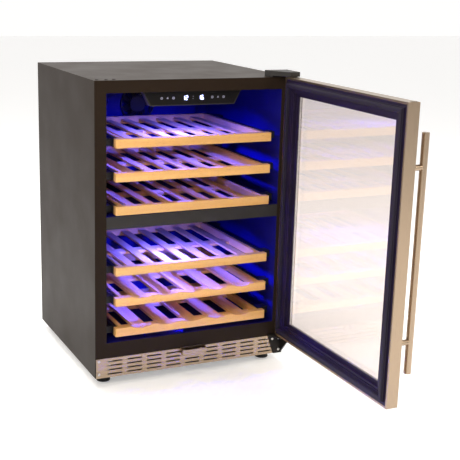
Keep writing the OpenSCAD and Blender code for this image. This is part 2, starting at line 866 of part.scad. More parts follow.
// The front rail, rounded at its ends and scalloped over wide slats
module front_rail(top, wide) {
    corner_r = 4;
    difference() {
        block([-rail_half, front_y, top - rail_h], [rail_half, front_y + rail_t, top]);
        both_sides() translate([rail_half - corner_r, front_y + corner_r, top - rail_h - eps]) difference() {
            translate([0, -corner_r - eps, 0]) cube([corner_r + eps, corner_r + eps, rail_h + 2 * eps]);
            translate([0, 0, -eps]) cylinder(h = rail_h + 4 * eps, r = corner_r);
        }
        if (wide) for (i = [-2 : 2]) trough(i, top, front_y, front_y + rail_t);
    }
}

// A wooden rack: front rail, side strips, slats from front to back, cross bars under them, rear rail
module rack(i) {
    top = shelf_top[i];
    wide = shelf_is_wide[i];
    y0 = front_y + rail_t;
    y1 = front_y + shelf_depth[i] - rear_rail_t;
    under = wide ? top - wide_drop - wide_slat_t : top - slat_drop - slat_t;
    color("#e3b064") union() {
        front_rail(top, wide);
        both_sides() block([rack_half - strip_w, y0, top - rail_h + 2], [rack_half, y1, top]);
        if (wide) wide_slats(top, y0, y1);
        else narrow_slats(top, y0, y1);
        block([-rack_half, y1, top - rail_h + 2], [rack_half, y1 + rear_rail_t, top]);
        block([-rack_half, front_y + cross_bar_y, under - cross_bar_t],
              [rack_half, front_y + cross_bar_y + cross_bar_w, under]);
        if (wide) block([-rack_half, front_y + front_bar_y, under - cross_bar_t],
                        [rack_half, front_y + front_bar_y + front_bar_w, under]);
    }
}

module shelf_1_rack() { rack(0); }
module shelf_2_rack() { rack(1); }
module shelf_3_rack() { rack(2); }
module shelf_4_rack() { rack(3); }
module shelf_5_rack() { rack(4); }
module shelf_6_rack() { rack(5); }
module shelf_1_runners() { shelf_runners(0); }
module shelf_2_runners() { shelf_runners(1); }
module shelf_3_runners() { shelf_runners(2); }
module shelf_4_runners() { shelf_runners(3); }
module shelf_5_runners() { shelf_runners(4); }
module shelf_6_runners() { shelf_runners(5); }

// ---- Door, drawn shut and turned by on_door ----

// A rectangular ring between y0 and y1, with its outer edge at a margin from the door's edge
module door_ring(outer, side, bar, y0, y1) {
    difference() {
        block([-door_half + outer, y0, door_bottom + outer], [door_half - outer, y1, door_top - outer]);
        block([-door_half + side, y0 - eps, door_bottom + bar], [door_half - side, y1 + eps, door_top - bar]);
    }
}

spare_x = -door_half + pivot_edge;

// The pockets for the hinge bushes, the spare-hole plugs and the lock
module door_pockets(r) {
    for (x = [pivot_x, spare_x]) {
        rod(x, pivot_y, door_top - bush_l, door_top + eps, r);
        rod(x, pivot_y, door_bottom - eps, door_bottom + bush_l, r);
    }
    rod_y(0, lock_z, door_out_y - eps, door_in_y + eps, barrel_r + free_gap);
    intersection() {
        rod_y(0, lock_z, tongue_y - 1, tongue_y + tongue_t + 1, tongue_l + 2);
        block([-tongue_w, tongue_y - 1, door_bottom - eps], [tongue_l + 3, tongue_y + tongue_t + 1, lock_z + tongue_w]);
    }
}

module door_frame() {
    color("#c9bca8") on_door() difference() {
        union() {
            door_ring(0, stile_w, bar_w, door_out_y, door_out_y + casing_t);
            door_ring(0, casing_t, casing_t, door_out_y, door_in_y);
            door_ring(0, lip_w, lip_w, door_in_y - casing_t, door_in_y);
        }
        door_pockets(bush_r);
    }
}

module door_inner_frame() {
    color("#1a1820") on_door() difference() {
        union() {
            door_ring(casing_t, glass_stile, glass_bar, outer_pane_y, door_in_y - casing_t);
            door_ring(casing_t, glass_stile + 6, glass_bar + 6, pane_in_y, door_in_y - 3);
            door_ring(casing_t, inner_stile_w, inner_bar_w, pane_in_y, pane_in_y + 3);
            door_ring(gasket_edge - 1, gasket_edge + gasket_w + 4, gasket_edge + gasket_w + 4, door_in_y - casing_t, door_in_y);
        }
        door_pockets(bush_r);
    }
}

module door_gasket() {
    inner = gasket_edge + gasket_w;
    rise = door_gap - free_gap;
    color("#202024") on_door() union() {
        door_ring(gasket_edge, inner, inner, door_in_y, door_in_y + 3);
        door_ring(gasket_edge + 2, inner - 2, inner - 2, door_in_y, door_in_y + rise - 1.5);
        door_ring(gasket_edge + 4, inner - 4, inner - 4, door_in_y, door_in_y + rise);
    }
}

module pane(y) {
    block([-door_half + glass_stile, y, door_bottom + glass_bar], [door_half - glass_stile, y + pane_t, door_top - glass_bar]);
}

module outer_glass() {
    color("#9fb4c4", 0.35) on_door() pane(outer_pane_y);
}

module inner_glass() {
    color("#a9bccb", 0.35) on_door() pane(inner_pane_y);
}

module glass_spacer() {
    color("#b8b9bb") on_door() difference() {
        block([-door_half + glass_stile + 2, outer_pane_y + pane_t, door_bottom + glass_bar + 2],
              [door_half - glass_stile - 2, inner_pane_y, door_top - glass_bar - 2]);
        block([-door_half + inner_stile_w - 8, outer_pane_y, door_bottom + inner_bar_w - 6],
              [door_half - inner_stile_w + 8, pane_in_y, door_top - inner_bar_w + 6]);
    }
}

handle_x = -door_half + handle_edge;
handle_y = door_out_y - handle_reach;
handle_mid = (door_bottom + door_top) / 2;

module handle_bar() {
    end_r = 2;
    color("#c4b9a6") on_door() translate([handle_x, handle_y, handle_mid - handle_l / 2]) rotate_extrude($fn = 64)
        polygon([
            [0, 0], [handle_d / 2 - end_r, 0], [handle_d / 2, end_r],
            [handle_d / 2, handle_l - end_r], [handle_d / 2 - end_r, handle_l], [0, handle_l]
        ]);
}

module handle_posts() {
    color("#bfb29d") on_door() difference() {
        for (side = [-1, 1]) rod_y(handle_x, handle_mid + side * post_pitch / 2, handle_y, door_out_y, post_d / 2);
        rod(handle_x, handle_y, handle_mid - handle_l / 2, handle_mid + handle_l / 2, handle_d / 2, $fn = 64);
    }
}

module bush(z0, z1, flange_z) {
    difference() {
        union() {
            rod(pivot_x, pivot_y, z0, z1, bush_r);
            rod(pivot_x, pivot_y, flange_z, flange_z + bush_flange_t, bush_flange_r);
        }
        rod(pivot_x, pivot_y, z0 - 5, z1 + 5, pin_r + running_gap);
    }
}

module hinge_bushes() {
    color("#2e2e30") on_door() {
        bush(door_top - bush_l, door_top, door_top);
        bush(door_bottom, door_bottom + bush_l, door_bottom - bush_flange_t);
    }
}

module door_plugs() {
    color("#8f8474") on_door() for (top = [true, false]) {
        z = top ? door_top : door_bottom;
        way = top ? 1 : -1;
        rod(spare_x, pivot_y, min(z, z - way * bush_l), max(z, z - way * bush_l), bush_r);
        rod(spare_x, pivot_y, min(z, z + way * 1.5), max(z, z + way * 1.5), bush_flange_r);
    }
}

module lock_barrel() {
    color("#b7b2aa") on_door() union() {
        rod_y(0, lock_z, door_out_y - 1.5, tongue_y + tongue_t, barrel_r);
        difference() {
            rod_y(0, lock_z, door_out_y - 3, door_out_y - free_gap, barrel_r + 3);
            block([-1, door_out_y - 4, lock_z - 4], [1, door_out_y - 1.5, lock_z + 4]);
        }
        block([0, tongue_y, lock_z - tongue_w / 2], [tongue_l - 1, tongue_y + tongue_t, lock_z + tongue_w / 2]);
    }
}

cabinet_shell();
front_frame();
rear_panel();
base_plate();
insulation_foam();
upper_liner();
lower_liner();
zone_divider();
duct_panels();
evaporator_coils();
fan_guards();
carbon_filter();
zone_lights();
control_housing();
control_face();
kick_grille();
lock_keeper();
cabinet_screws();
upper_hinge_bracket();
upper_hinge_cover();
lower_hinge_bracket();
hinge_pins();
hole_plugs();
compressor();
condenser_coil();
condenser_fan_shroud();
drip_tray();
power_inlet();
shelf_rails();
upper_fan_rotor();
lower_fan_rotor();
condenser_fan_rotor();
foot_front_left();
foot_front_right();
foot_back_left();
foot_back_right();
shelf_1_rack();
shelf_2_rack();
shelf_3_rack();
shelf_4_rack();
shelf_5_rack();
shelf_6_rack();
shelf_1_runners();
shelf_2_runners();
shelf_3_runners();
shelf_4_runners();
shelf_5_runners();
shelf_6_runners();
door_frame();
door_inner_frame();
door_gasket();
outer_glass();
inner_glass();
glass_spacer();
handle_bar();
handle_posts();
hinge_bushes();
door_plugs();
lock_barrel();
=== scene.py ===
"""Looks of a dual-zone under-counter wine cooler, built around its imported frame.

Each sub-assembly is a class that models its pieces and dresses them. Lengths are in metres.
"""

import json
import logging
import math
from contextlib import contextmanager
from dataclasses import dataclass, field
from enum import Enum
from typing import Callable, Iterator

import bmesh
import bpy
from mathutils import Euler, Matrix, Vector


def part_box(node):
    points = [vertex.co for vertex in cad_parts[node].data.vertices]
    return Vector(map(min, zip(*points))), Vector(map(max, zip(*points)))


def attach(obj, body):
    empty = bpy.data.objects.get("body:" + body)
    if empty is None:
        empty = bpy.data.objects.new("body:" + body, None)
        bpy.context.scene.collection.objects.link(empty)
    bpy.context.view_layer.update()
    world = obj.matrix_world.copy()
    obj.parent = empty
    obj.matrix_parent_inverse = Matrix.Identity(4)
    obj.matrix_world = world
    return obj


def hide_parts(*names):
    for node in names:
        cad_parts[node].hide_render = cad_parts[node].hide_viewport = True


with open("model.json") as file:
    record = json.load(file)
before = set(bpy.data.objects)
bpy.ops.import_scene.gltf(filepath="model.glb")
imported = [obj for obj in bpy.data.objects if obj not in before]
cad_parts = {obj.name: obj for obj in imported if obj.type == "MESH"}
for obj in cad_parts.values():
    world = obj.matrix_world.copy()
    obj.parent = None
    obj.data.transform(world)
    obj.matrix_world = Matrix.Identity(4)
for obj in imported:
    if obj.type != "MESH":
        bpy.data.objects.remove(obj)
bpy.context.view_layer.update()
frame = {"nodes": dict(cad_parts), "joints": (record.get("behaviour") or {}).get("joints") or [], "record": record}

logging.basicConfig(level=logging.INFO, format="%(name)s: %(message)s")
log = logging.getLogger("wine_cooler")

MM = 0.001
SHARP = math.radians(35)
FLAT = math.radians(0.5)
WELD_GAP = 0.005 * MM
NODE_WELD_GAP = 0.01 * MM
# nearly every noise value lies between these two
NOISE_LOW, NOISE_HIGH = 0.3, 0.7
# each board starts this much further along the grain, and its tone steps round this range
GRAIN_STEP, TONE_STEP = 0.377, 0.618
TONE_LOW, TONE_RANGE = 0.9, 0.2
SHELVES = range(1, 7)
WIDE_SHELVES = (5, 6)
PlaceTest = Callable[[Vector, Vector], bool]
Object = bpy.types.Object
Socket = bpy.types.NodeSocket


class Axis(Enum):
    """The direction of a rod, as the turn that lays it there from Z."""

    X = (0.0, math.pi / 2, 0.0)
    Y = (math.pi / 2, 0.0, 0.0)
    Z = (0.0, 0.0, 0.0)


class Pick(Enum):
    """What edit mode selects."""

    POINTS = "VERT"
    EDGES = "EDGE"
    FACES = "FACE"


class Coordinates(Enum):
    """What a pattern is laid out on."""

    OBJECT = "object"
    GRAIN = "grain"


# ---- Modelling tools ----


def deselect_all() -> None:
    """Leaves every object unselected, in object mode."""
    if bpy.context.mode != "OBJECT":
        bpy.ops.object.mode_set(mode="OBJECT")
    bpy.ops.object.select_all(action="DESELECT")


def select_only(piece: Object) -> None:
    """Makes one piece the active and only selected object.

    Args:
        piece: The piece to select.
    """
    deselect_all()
    piece.select_set(True)
    bpy.context.view_layer.objects.active = piece


def settle(piece: Object) -> None:
    """Applies a piece's place, turn and scale to its mesh.

    Args:
        piece: The piece to settle at the origin.
    """
    select_only(piece)
    bpy.ops.object.transform_apply(location=True, rotation=True, scale=True)


@contextmanager
def editing(piece: Object, pick: Pick = Pick.FACES) -> Iterator[None]:
    """Holds a piece in edit mode with nothing selected.

    Args:
        piece: The piece to edit.
        pick: What it selects.
    """
    select_only(piece)
    bpy.ops.object.mode_set(mode="EDIT")
    bpy.ops.mesh.select_mode(type=pick.value)
    bpy.ops.mesh.select_all(action="DESELECT")
    yield
    bpy.ops.object.mode_set(mode="OBJECT")


def pick_faces(piece: Object, test: PlaceTest) -> None:
    """Selects the faces that pass a test, in edit mode.

    Args:
        piece: The piece being edited.
        test: Takes a face's centre and normal.
    """
    mesh = bmesh.from_edit_mesh(piece.data)
    for face in mesh.faces:
        face.select_set(test(face.calc_center_median(), face.normal))
    bmesh.update_edit_mesh(piece.data)


def pick_edges(piece: Object, test: PlaceTest) -> None:
    """Selects the edges that pass a test, in edit mode.

    Args:
        piece: The piece being edited.
        test: Takes an edge's middle and its direction.
    """
    mesh = bmesh.from_edit_mesh(piece.data)
    for edge in mesh.edges:
        start, end = edge.verts[0].co, edge.verts[1].co
        edge.select_set(test((start + end) / 2, (end - start).normalized()))
    mesh.select_flush_mode()
    bmesh.update_edit_mesh(piece.data)


def add_block(name: str, low: tuple, high: tuple) -> Object:
    """Adds a block that later steps shape.

    Args:
        name: The piece's name.
        low: Its lowest corner.
        high: Its highest corner.

    Returns:
        The new piece.
    """
    deselect_all()
    low, high = Vector(low), Vector(high)
    bpy.ops.mesh.primitive_cube_add(size=1.0, location=(low + high) / 2)
    piece = bpy.context.active_object
    piece.name = name
    piece.scale = high - low
    settle(piece)
    return piece


def add_rod(name: str, centre: tuple, radius: float, length: float, axis: Axis, sides: int = 48) -> Object:
    """Adds a round bar that later steps shape.

    Args:
        name: The piece's name.
        centre: The middle of the bar.
        radius: The bar's radius.
        length: Its length along the axis.
        axis: Its direction.
        sides: The number of its sides.

    Returns:
        The new piece.
    """
    deselect_all()
    bpy.ops.mesh.primitive_cylinder_add(
        vertices=sides, radius=radius, depth=length, location=centre, rotation=axis.value)
    piece = bpy.context.active_object
    piece.name = name
    settle(piece)
    return piece


def apply_modifier(piece: Object, kind: str, **settings: object) -> None:
    """Adds a modifier and applies it.

    Args:
        piece: The piece to finish.
        kind: The modifier's type.
        settings: Its settings.
    """
    select_only(piece)
    modifier = piece.modifiers.new(kind.title(), kind)
    for key, value in settings.items():
        setattr(modifier, key, value)
    bpy.ops.object.modifier_apply(modifier=modifier.name)


def recalculate_normals(piece: Object) -> None:
    """Turns every face outwards, after merging doubles.

    Args:
        piece: The piece to turn.
    """
    with editing(piece):
        bpy.ops.mesh.select_all(action="SELECT")
        bpy.ops.mesh.remove_doubles(threshold=WELD_GAP)
        bpy.ops.mesh.normals_make_consistent(inside=False)


def smooth(piece: Object) -> None:
    """Shades a piece smooth, apart from its sharp edges, and keeps its broad faces flat."""
    select_only(piece)
    bpy.ops.object.shade_smooth_by_angle(angle=SHARP)
    apply_modifier(piece, "WEIGHTED_NORMAL", keep_sharp=True)


def round_edges(piece: Object, width: float, segments: int = 2) -> Object:
    """Rounds a piece's sharp edges and shades it.

    Args:
        piece: The piece to finish.
        width: The width of the rounding.
        segments: Its number of steps.

    Returns:
        The same piece.
    """
    apply_modifier(piece, "BEVEL", width=width, segments=segments, limit_method="ANGLE",
                   angle_limit=SHARP, use_clamp_overlap=True)
    smooth(piece)
    return piece


def cut(piece: Object, cutter: Object) -> None:
    """Cuts one piece out of another and deletes the cutter.

    Args:
        piece: The piece to cut.
        cutter: The shape to take away.
    """
    apply_modifier(piece, "BOOLEAN", object=cutter, operation="DIFFERENCE", solver="EXACT")
    bpy.data.objects.remove(cutter)


def copy_piece(piece: Object, name: str, matrix: Matrix) -> Object:
    """Copies a piece with a mesh of its own.

    Args:
        piece: The piece to copy.
        name: The copy's name.
        matrix: Where the copy's mesh goes.

    Returns:
        The copy.
    """
    twin = bpy.data.objects.new(name, piece.data.copy())
    bpy.context.scene.collection.objects.link(twin)
    twin.data.transform(matrix)
    return twin


def join(name: str, pieces: list[Object]) -> Object:
    """Joins pieces into one.

    Args:
        name: The joined piece's name.
        pieces: What to join.

    Returns:
        The joined piece.
    """
    select_only(pieces[0])
    for piece in pieces:
        piece.select_set(True)
    bpy.ops.object.join()
    joined = bpy.context.active_object
    joined.name = name
    return joined


def lay_grain(piece: Object, along: int, board: int) -> None:
    """Stores each point's place along and across a board, so that the grain follows it.

    Args:
        piece: The board.
        along: The index of the axis that the board runs along.
        board: The board's number, which gives it its own stretch of grain and its own tone.
    """
    across = [axis for axis in range(3) if axis != along]
    layers = piece.data.attributes
    layers.new("grain", "FLOAT_VECTOR", "POINT")
    layers.new("tone", "FLOAT", "POINT")
    # a layer is looked up only once both exist, because adding one moves the others
    shift = board * GRAIN_STEP
    places, tones = [], []
    for vertex in piece.data.vertices:
        place = vertex.co
        places += (place[along] + shift, place[across[0]] + shift * 1.7, place[across[1]] - shift)
        tones.append(TONE_LOW + TONE_RANGE * ((board * TONE_STEP) % 1.0))
    layers["grain"].data.foreach_set("vector", places)
    layers["tone"].data.foreach_set("value", tones)


RECORD = frame["record"]
NODE_BODY = {node: body for body, nodes in RECORD["behaviour"]["bodies"].items() for node in nodes}
NODE_SLOT = {part["node"]: part["material_slot"] for part in RECORD["subparts"]}


def bare_copy(node: str, name: str) -> Object:
    """Copies a frame node with its triangles welded and its flat faces merged.

    Args:
        node: The node's name.
        name: The copy's name.

    Returns:
        The copy.
    """
    copy = bpy.data.objects.new(name, frame["nodes"][node].data.copy())
    bpy.context.scene.collection.objects.link(copy)
    copy.data.materials.clear()
    select_only(copy)
    bpy.ops.mesh.customdata_custom_splitnormals_clear()
    with editing(copy, Pick.POINTS):
        bpy.ops.mesh.select_all(action="SELECT")
        bpy.ops.mesh.remove_doubles(threshold=NODE_WELD_GAP)
        bpy.ops.mesh.dissolve_limited(angle_limit=FLAT)
    return copy


def loose_boxes(node: str) -> list[tuple[Vector, Vector]]:
    """Finds the box of each separate solid of a node.

    Args:
        node: The node's name.

    Returns:
        The lowest and highest corner of each solid.
    """
    copy = bare_copy(node, "loose")
    with editing(copy):
        bpy.ops.mesh.select_all(action="SELECT")
        bpy.ops.mesh.separate(type="LOOSE")
    boxes = []
    for part in list(bpy.context.selected_objects):
        points = [vertex.co.copy() for vertex in part.data.vertices]
        boxes.append((Vector(map(min, *points)), Vector(map(max, *points))))
        bpy.data.objects.remove(part)
    return boxes


# ---- Finishes ----


class Graph:
    """Adds and links the shader nodes of one material."""

    def __init__(self, name: str) -> None:
        """Starts an empty material."""
        self.material = bpy.data.materials.new(name)
        self.material.use_nodes = True
        self.tree = self.material.node_tree
        self.tree.nodes.clear()

    def add(self, kind: str, settings: dict | None = None, **inputs: object) -> bpy.types.Node:
        """Adds a shader node.

        Args:
            kind: The node's type.
            settings: Its own settings.
            inputs: Values or sockets for its inputs, with _ for a space.

        Returns:
            The new node.
        """
        node = self.tree.nodes.new(kind)
        for key, value in (settings or {}).items():
            setattr(node, key, value)
        for key, value in inputs.items():
            socket = node.inputs[key.replace("_", " ")]
            if isinstance(value, Socket):
                self.tree.links.new(value, socket)
            else:
                socket.default_value = value
        return node

    def place(self, source: Coordinates, scale: tuple) -> Socket:
        """Gives scaled pattern coordinates.

        Args:
            source: What the pattern is laid out on.
            scale: Its scale along each axis.

        Returns:
            The vector socket.
        """
        if source is Coordinates.GRAIN:
            vector = self.add("ShaderNodeAttribute", {"attribute_name": "grain"}).outputs["Vector"]
        else:
            vector = self.add("ShaderNodeTexCoord").outputs["Object"]
        return self.add("ShaderNodeMapping", Vector=vector, Scale=scale).outputs[0]

    def noise(self, vector: Socket, scale: float, detail: float = 4.0) -> Socket:
        """Gives a noise value at each place."""
        return self.add("ShaderNodeTexNoise", Vector=vector, Scale=scale, Detail=detail).outputs[0]

    def spread(self, value: Socket, low: float, high: float) -> Socket:
        """Spreads a noise value between two limits."""
        return self.add("ShaderNodeMapRange", Value=value, From_Min=NOISE_LOW, From_Max=NOISE_HIGH,
                        To_Min=low, To_Max=high).outputs[0]

    def ramp(self, value: Socket, stops: list[tuple[float, tuple]]) -> Socket:
        """Turns a value into a colour.

        Args:
            value: The value, from 0 to 1.
            stops: The place and colour of each stop.

        Returns:
            The colour socket.
        """
        node = self.add("ShaderNodeValToRGB")
        elements = node.color_ramp.elements
        while len(elements) < len(stops):
            elements.new(0.5)
        for element, (place, color) in zip(elements, stops):
            element.position = place
            element.color = (*color, 1.0)
        self.tree.links.new(value, node.inputs[0])
        return node.outputs[0]

    def shades(self, value: Socket, color: tuple, darkest: float, lightest: float) -> Socket:
        """Varies a colour with a noise value.

        Args:
            value: The noise value.
            color: The middle colour.
            darkest: The factor at the noise's low end.
            lightest: The factor at its high end.

        Returns:
            The colour socket.
        """
        ends = ((NOISE_LOW, darkest), (NOISE_HIGH, lightest))
        return self.ramp(value, [(place, tuple(min(channel * factor, 1.0) for channel in color))
                                 for place, factor in ends])

    def bump(self, height: Socket, strength: float, distance: float) -> Socket:
        """Turns a height into a normal."""
        return self.add("ShaderNodeBump", Strength=strength, Distance=distance, Height=height).outputs[0]

    def finish(self, **inputs: object) -> bpy.types.Material:
        """Adds the shader and the output.

        Args:
            inputs: The shader's inputs, with _ for a space.

        Returns:
            The finished material.
        """
        shader = self.add("ShaderNodeBsdfPrincipled", **inputs)
        self.add("ShaderNodeOutputMaterial", Surface=shader.outputs[0])
        return self.material


@dataclass(frozen=True)
class Painted:
    """Sprayed and baked paint: slight orange peel, slight unevenness in its gloss."""

    name: str
    color: tuple
    gloss: tuple = (0.28, 0.38)
    peel: float = 0.06
    cloud: float = 0.1
    coat: float = 0.1
    specular: float = 0.5
    coat_gloss: float = 0.12
    cloud_scale: float = 9.0
    peel_scale: float = 750.0
    peel_depth: float = 0.4 * MM

    def make(self) -> bpy.types.Material:
        """Makes the material."""
        graph = Graph(self.name)
        place = graph.place(Coordinates.OBJECT, (1, 1, 1))
        cloud = graph.noise(place, self.cloud_scale)
        color = graph.shades(cloud, self.color, 1 - self.cloud, 1 + self.cloud)
        normal = graph.bump(graph.noise(place, self.peel_scale, 2.0), self.peel, self.peel_depth)
        return graph.finish(Base_Color=color, Roughness=graph.spread(cloud, *self.gloss), Normal=normal,
                            Coat_Weight=self.coat, Coat_Roughness=self.coat_gloss,
                            Specular_IOR_Level=self.specular)


@dataclass(frozen=True)
class Moulded:
    """Moulded plastic or rubber with a fine spark-eroded texture."""

    name: str
    color: tuple
    gloss: tuple = (0.42, 0.55)
    texture: float = 0.12
    grain_size: float = 1400.0
    specular: float = 0.25
    cloud_scale: float = 14.0
    cloud: float = 0.15
    grain_depth: float = 0.3 * MM

    def make(self) -> bpy.types.Material:
        """Makes the material."""
        graph = Graph(self.name)
        place = graph.place(Coordinates.OBJECT, (1, 1, 1))
        cloud = graph.noise(place, self.cloud_scale)
        color = graph.shades(cloud, self.color, 1 - self.cloud, 1 + self.cloud)
        normal = graph.bump(graph.noise(place, self.grain_size, 3.0), self.texture, self.grain_depth)
        return graph.finish(Base_Color=color, Roughness=graph.spread(cloud, *self.gloss), Normal=normal,
                            Specular_IOR_Level=self.specular)


@dataclass(frozen=True)
class Brushed:
    """Metal brushed along one direction."""

    name: str
    color: tuple
    stretch: tuple
    source: Coordinates = Coordinates.OBJECT
    gloss: tuple = (0.22, 0.38)
    scratch: float = 0.1
    dull: float = 0.88
    bright: float = 1.08
    scratch_depth: float = 0.2 * MM

    def make(self) -> bpy.types.Material:
        """Makes the material."""
        graph = Graph(self.name)
        place = graph.place(self.source, self.stretch)
        hair = graph.noise(place, 1.0, 6.0)
        color = graph.shades(hair, self.color, self.dull, self.bright)
        return graph.finish(Base_Color=color, Metallic=1.0, Roughness=graph.spread(hair, *self.gloss),
                            Normal=graph.bump(hair, self.scratch, self.scratch_depth), Anisotropic=0.4)


@dataclass(frozen=True)
class Beech:
    """Lacquered beech: soft figure along each board, short darker flecks, its own tone for each board."""

    name: str
    light: tuple = (0.92, 0.53, 0.18)
    dark: tuple = (0.82, 0.43, 0.13)
    fleck: tuple = (0.82, 0.7, 0.58)
    figure_scale: tuple = (2.2, 55, 55)
    pore_scale: tuple = (90, 900, 900)
    pore_depth: float = 0.3 * MM

    def make(self) -> bpy.types.Material:
        """Makes the material."""
        graph = Graph(self.name)
        figure = graph.noise(graph.place(Coordinates.GRAIN, self.figure_scale), 1.0, 6.0)
        pores = graph.noise(graph.place(Coordinates.GRAIN, self.pore_scale), 1.0, 2.0)
        wood = graph.ramp(figure, [(NOISE_LOW, self.light), (0.72, self.dark)])
        flecks = graph.ramp(pores, [(NOISE_LOW, self.fleck), (0.4, (1, 1, 1))])
        mixed = graph.add("ShaderNodeVectorMath", {"operation": "MULTIPLY"})
        graph.tree.links.new(wood, mixed.inputs[0])
        graph.tree.links.new(flecks, mixed.inputs[1])
        tone = graph.add("ShaderNodeAttribute", {"attribute_name": "tone"}).outputs["Fac"]
        color = graph.add("ShaderNodeHueSaturation", Color=mixed.outputs[0], Value=tone).outputs[0]
        return graph.finish(Base_Color=color, Roughness=graph.spread(figure, 0.34, 0.46),
                            Normal=graph.bump(pores, 0.12, self.pore_depth),
                            Coat_Weight=0.15, Coat_Roughness=0.2)


@dataclass(frozen=True)
class ClearGlass:
    """Clear float glass with a faint film on it."""

    name: str
    color: tuple = (0.93, 0.885, 0.865)

    def make(self) -> bpy.types.Material:
        """Makes the material."""
        graph = Graph(self.name)
        film = graph.noise(graph.place(Coordinates.OBJECT, (1, 1, 1)), 6.0, 2.0)
        return graph.finish(Base_Color=(*self.color, 1.0), Roughness=graph.spread(film, 0.0, 0.012), IOR=1.45,
                            Transmission_Weight=1.0)


@dataclass(frozen=True)
class Glowing:
    """A lit diffuser or lit marking, slightly uneven in strength."""

    name: str
    color: tuple
    strength: tuple

    def make(self) -> bpy.types.Material:
        """Makes the material."""
        graph = Graph(self.name)
        cloud = graph.noise(graph.place(Coordinates.OBJECT, (1, 1, 1)), 60.0, 1.0)
        return graph.finish(Base_Color=(*self.color, 1.0), Roughness=0.4, Emission_Color=(*self.color, 1.0),
                            Emission_Strength=graph.spread(cloud, *self.strength))


# pattern scales of metal that is brushed along X and along Z
ALONG_X = (12, 2600, 2600)
ALONG_Z = (2600, 2600, 12)
# the stainless steel's warm brown tint is painted warm reflection: the real steel is a neutral grey, and this
# colour stands in for the warm surroundings that it reflects
STEEL_WITH_PAINTED_REFLECTION = (0.42, 0.32, 0.23)
FINISHES = {finish.name: finish for finish in (
    # the casing's black paint is tinted warm brown, partly its own dark colour and partly painted warm reflection,
    # with its specular turned right down
    Painted("black_steel", (0.022, 0.014, 0.009), (0.34, 0.42), cloud=0.04, coat=0.0, specular=0.06),
    Brushed("zinc_steel", (0.55, 0.55, 0.56), (140, 140, 140), gloss=(0.35, 0.5)),
    Moulded("foam", (0.78, 0.68, 0.42), (0.8, 0.95), 0.5, 500.0),
    # the liner's deep blue is painted blue light from the zone lamps; the liner itself is near black
    Moulded("liner_plastic", (0.006, 0.006, 0.13), (0.4, 0.5), 0.04, specular=0.12),
    Moulded("black_plastic", (0.03, 0.027, 0.025)),
    Brushed("aluminium", (0.7, 0.71, 0.72), ALONG_X),
    Glowing("light_panel", (0.25, 0.2, 1.0), (14.0, 18.0)),
    Painted("gloss_black", (0.008, 0.007, 0.007), (0.34, 0.4), 0.01, coat=0.0, specular=0.12),
    # the three stainless finishes below carry that painted warm reflection in their colour
    Brushed("stainless", STEEL_WITH_PAINTED_REFLECTION, ALONG_X),
    Brushed("stainless_upright", STEEL_WITH_PAINTED_REFLECTION, ALONG_Z),
    Brushed("stainless_sheet", STEEL_WITH_PAINTED_REFLECTION, ALONG_X, Coordinates.GRAIN),
    Brushed("screw_steel", (0.6, 0.58, 0.55), (500, 500, 500)),
    Painted("hinge_steel", (0.012, 0.01, 0.009), (0.35, 0.45), coat=0.0, specular=0.15),
    Brushed("pin_steel", (0.5, 0.5, 0.51), ALONG_X),
    Painted("coil_steel", (0.04, 0.04, 0.042), (0.4, 0.55)),
    Painted("slide_steel", (0.016, 0.015, 0.017), (0.25, 0.4), coat=0.0, specular=0.3),
    Moulded("door_plastic", (0.016, 0.01, 0.03), (0.34, 0.42), 0.06),
    Moulded("seal_rubber", (0.014, 0.01, 0.022), (0.5, 0.6)),
    ClearGlass("door_glass"),
    Moulded("plug_plastic", (0.3, 0.27, 0.23)),
    Brushed("lock_chrome", (0.75, 0.74, 0.72), (300, 300, 300), gloss=(0.06, 0.12), scratch=0.02),
    Moulded("foot_plastic", (0.02, 0.02, 0.02)),
    Beech("beech"),
    Glowing("display_lit", (0.5, 0.55, 1.0), (9.0, 11.0)),
    Glowing("icon_dim", (0.45, 0.45, 0.6), (0.16, 0.2)),
    Glowing("floor_pale", (0.9, 0.895, 0.89), (0.25, 0.26)),
)}
_made: dict[str, bpy.types.Material] = {}


def material(name: str) -> bpy.types.Material:
    """Gives a finish's material, made the first time it is asked for.

    Args:
        name: The finish's name.

    Returns:
        The material.
    """
    if name not in _made:
        _made[name] = FINISHES[name].make()
    return _made[name]


def place_piece(piece: Object, body: str, slot: str, replaced: tuple = (), finish: str = "") -> None:
    """Dresses a finished piece and fixes it to its body.

    Args:
        piece: The piece.
        body: The body that it rides on.
        slot: Its material slot in the record.
        replaced: The frame nodes that it stands for.
        finish: A finish other than the slot's own.
    """
    piece.data.materials.clear()
    piece.data.materials.append(material(finish or slot))
    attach(piece, body)
    if replaced:
        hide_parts(*replaced)
    log.info("%s on %s, %d faces", piece.name, body, len(piece.data.polygons))


def ease_node(node: str, width: float) -> None:
    """Replaces a frame node by a copy of it with rounded edges.

    Args:
        node: The node's name.
        width: The width of the rounding.
    """
    piece = round_edges(bare_copy(node, f"{node}_eased"), width)
    place_piece(piece, NODE_BODY[node], NODE_SLOT[node], (node,))


def ease_nodes(edges: dict[str, float]) -> None:
    """Eases each node by its own width, in order."""
    for node, width in edges.items():
        ease_node(node, width)


# ---- Sub-assemblies ----


@dataclass
class Casing:
    """The painted casing, its frame, the hinges, the grille and the feet, with each node's edge rounding."""

    edges: dict = field(default_factory=lambda: {
        "cabinet_shell": 0.5 * MM, "front_frame": 0.5 * MM, "zone_divider": 0.5 * MM, "rear_panel": 0.4 * MM,
        "upper_hinge_cover": 0.8 * MM, "upper_hinge_bracket": 0.6 * MM, "lower_hinge_bracket": 0.9 * MM,
        "hole_plugs": 0.4 * MM, "power_inlet": 0.6 * MM, "lock_keeper": 0.4 * MM,
        "foot_front_left": 1.2 * MM, "foot_front_right": 1.2 * MM, "foot_back_left": 1.2 * MM,
        "foot_back_right": 1.2 * MM, "kick_grille": 0.25 * MM,
    })

    def build(self) -> None:
        """Builds the casing's pieces."""
        ease_nodes(self.edges)


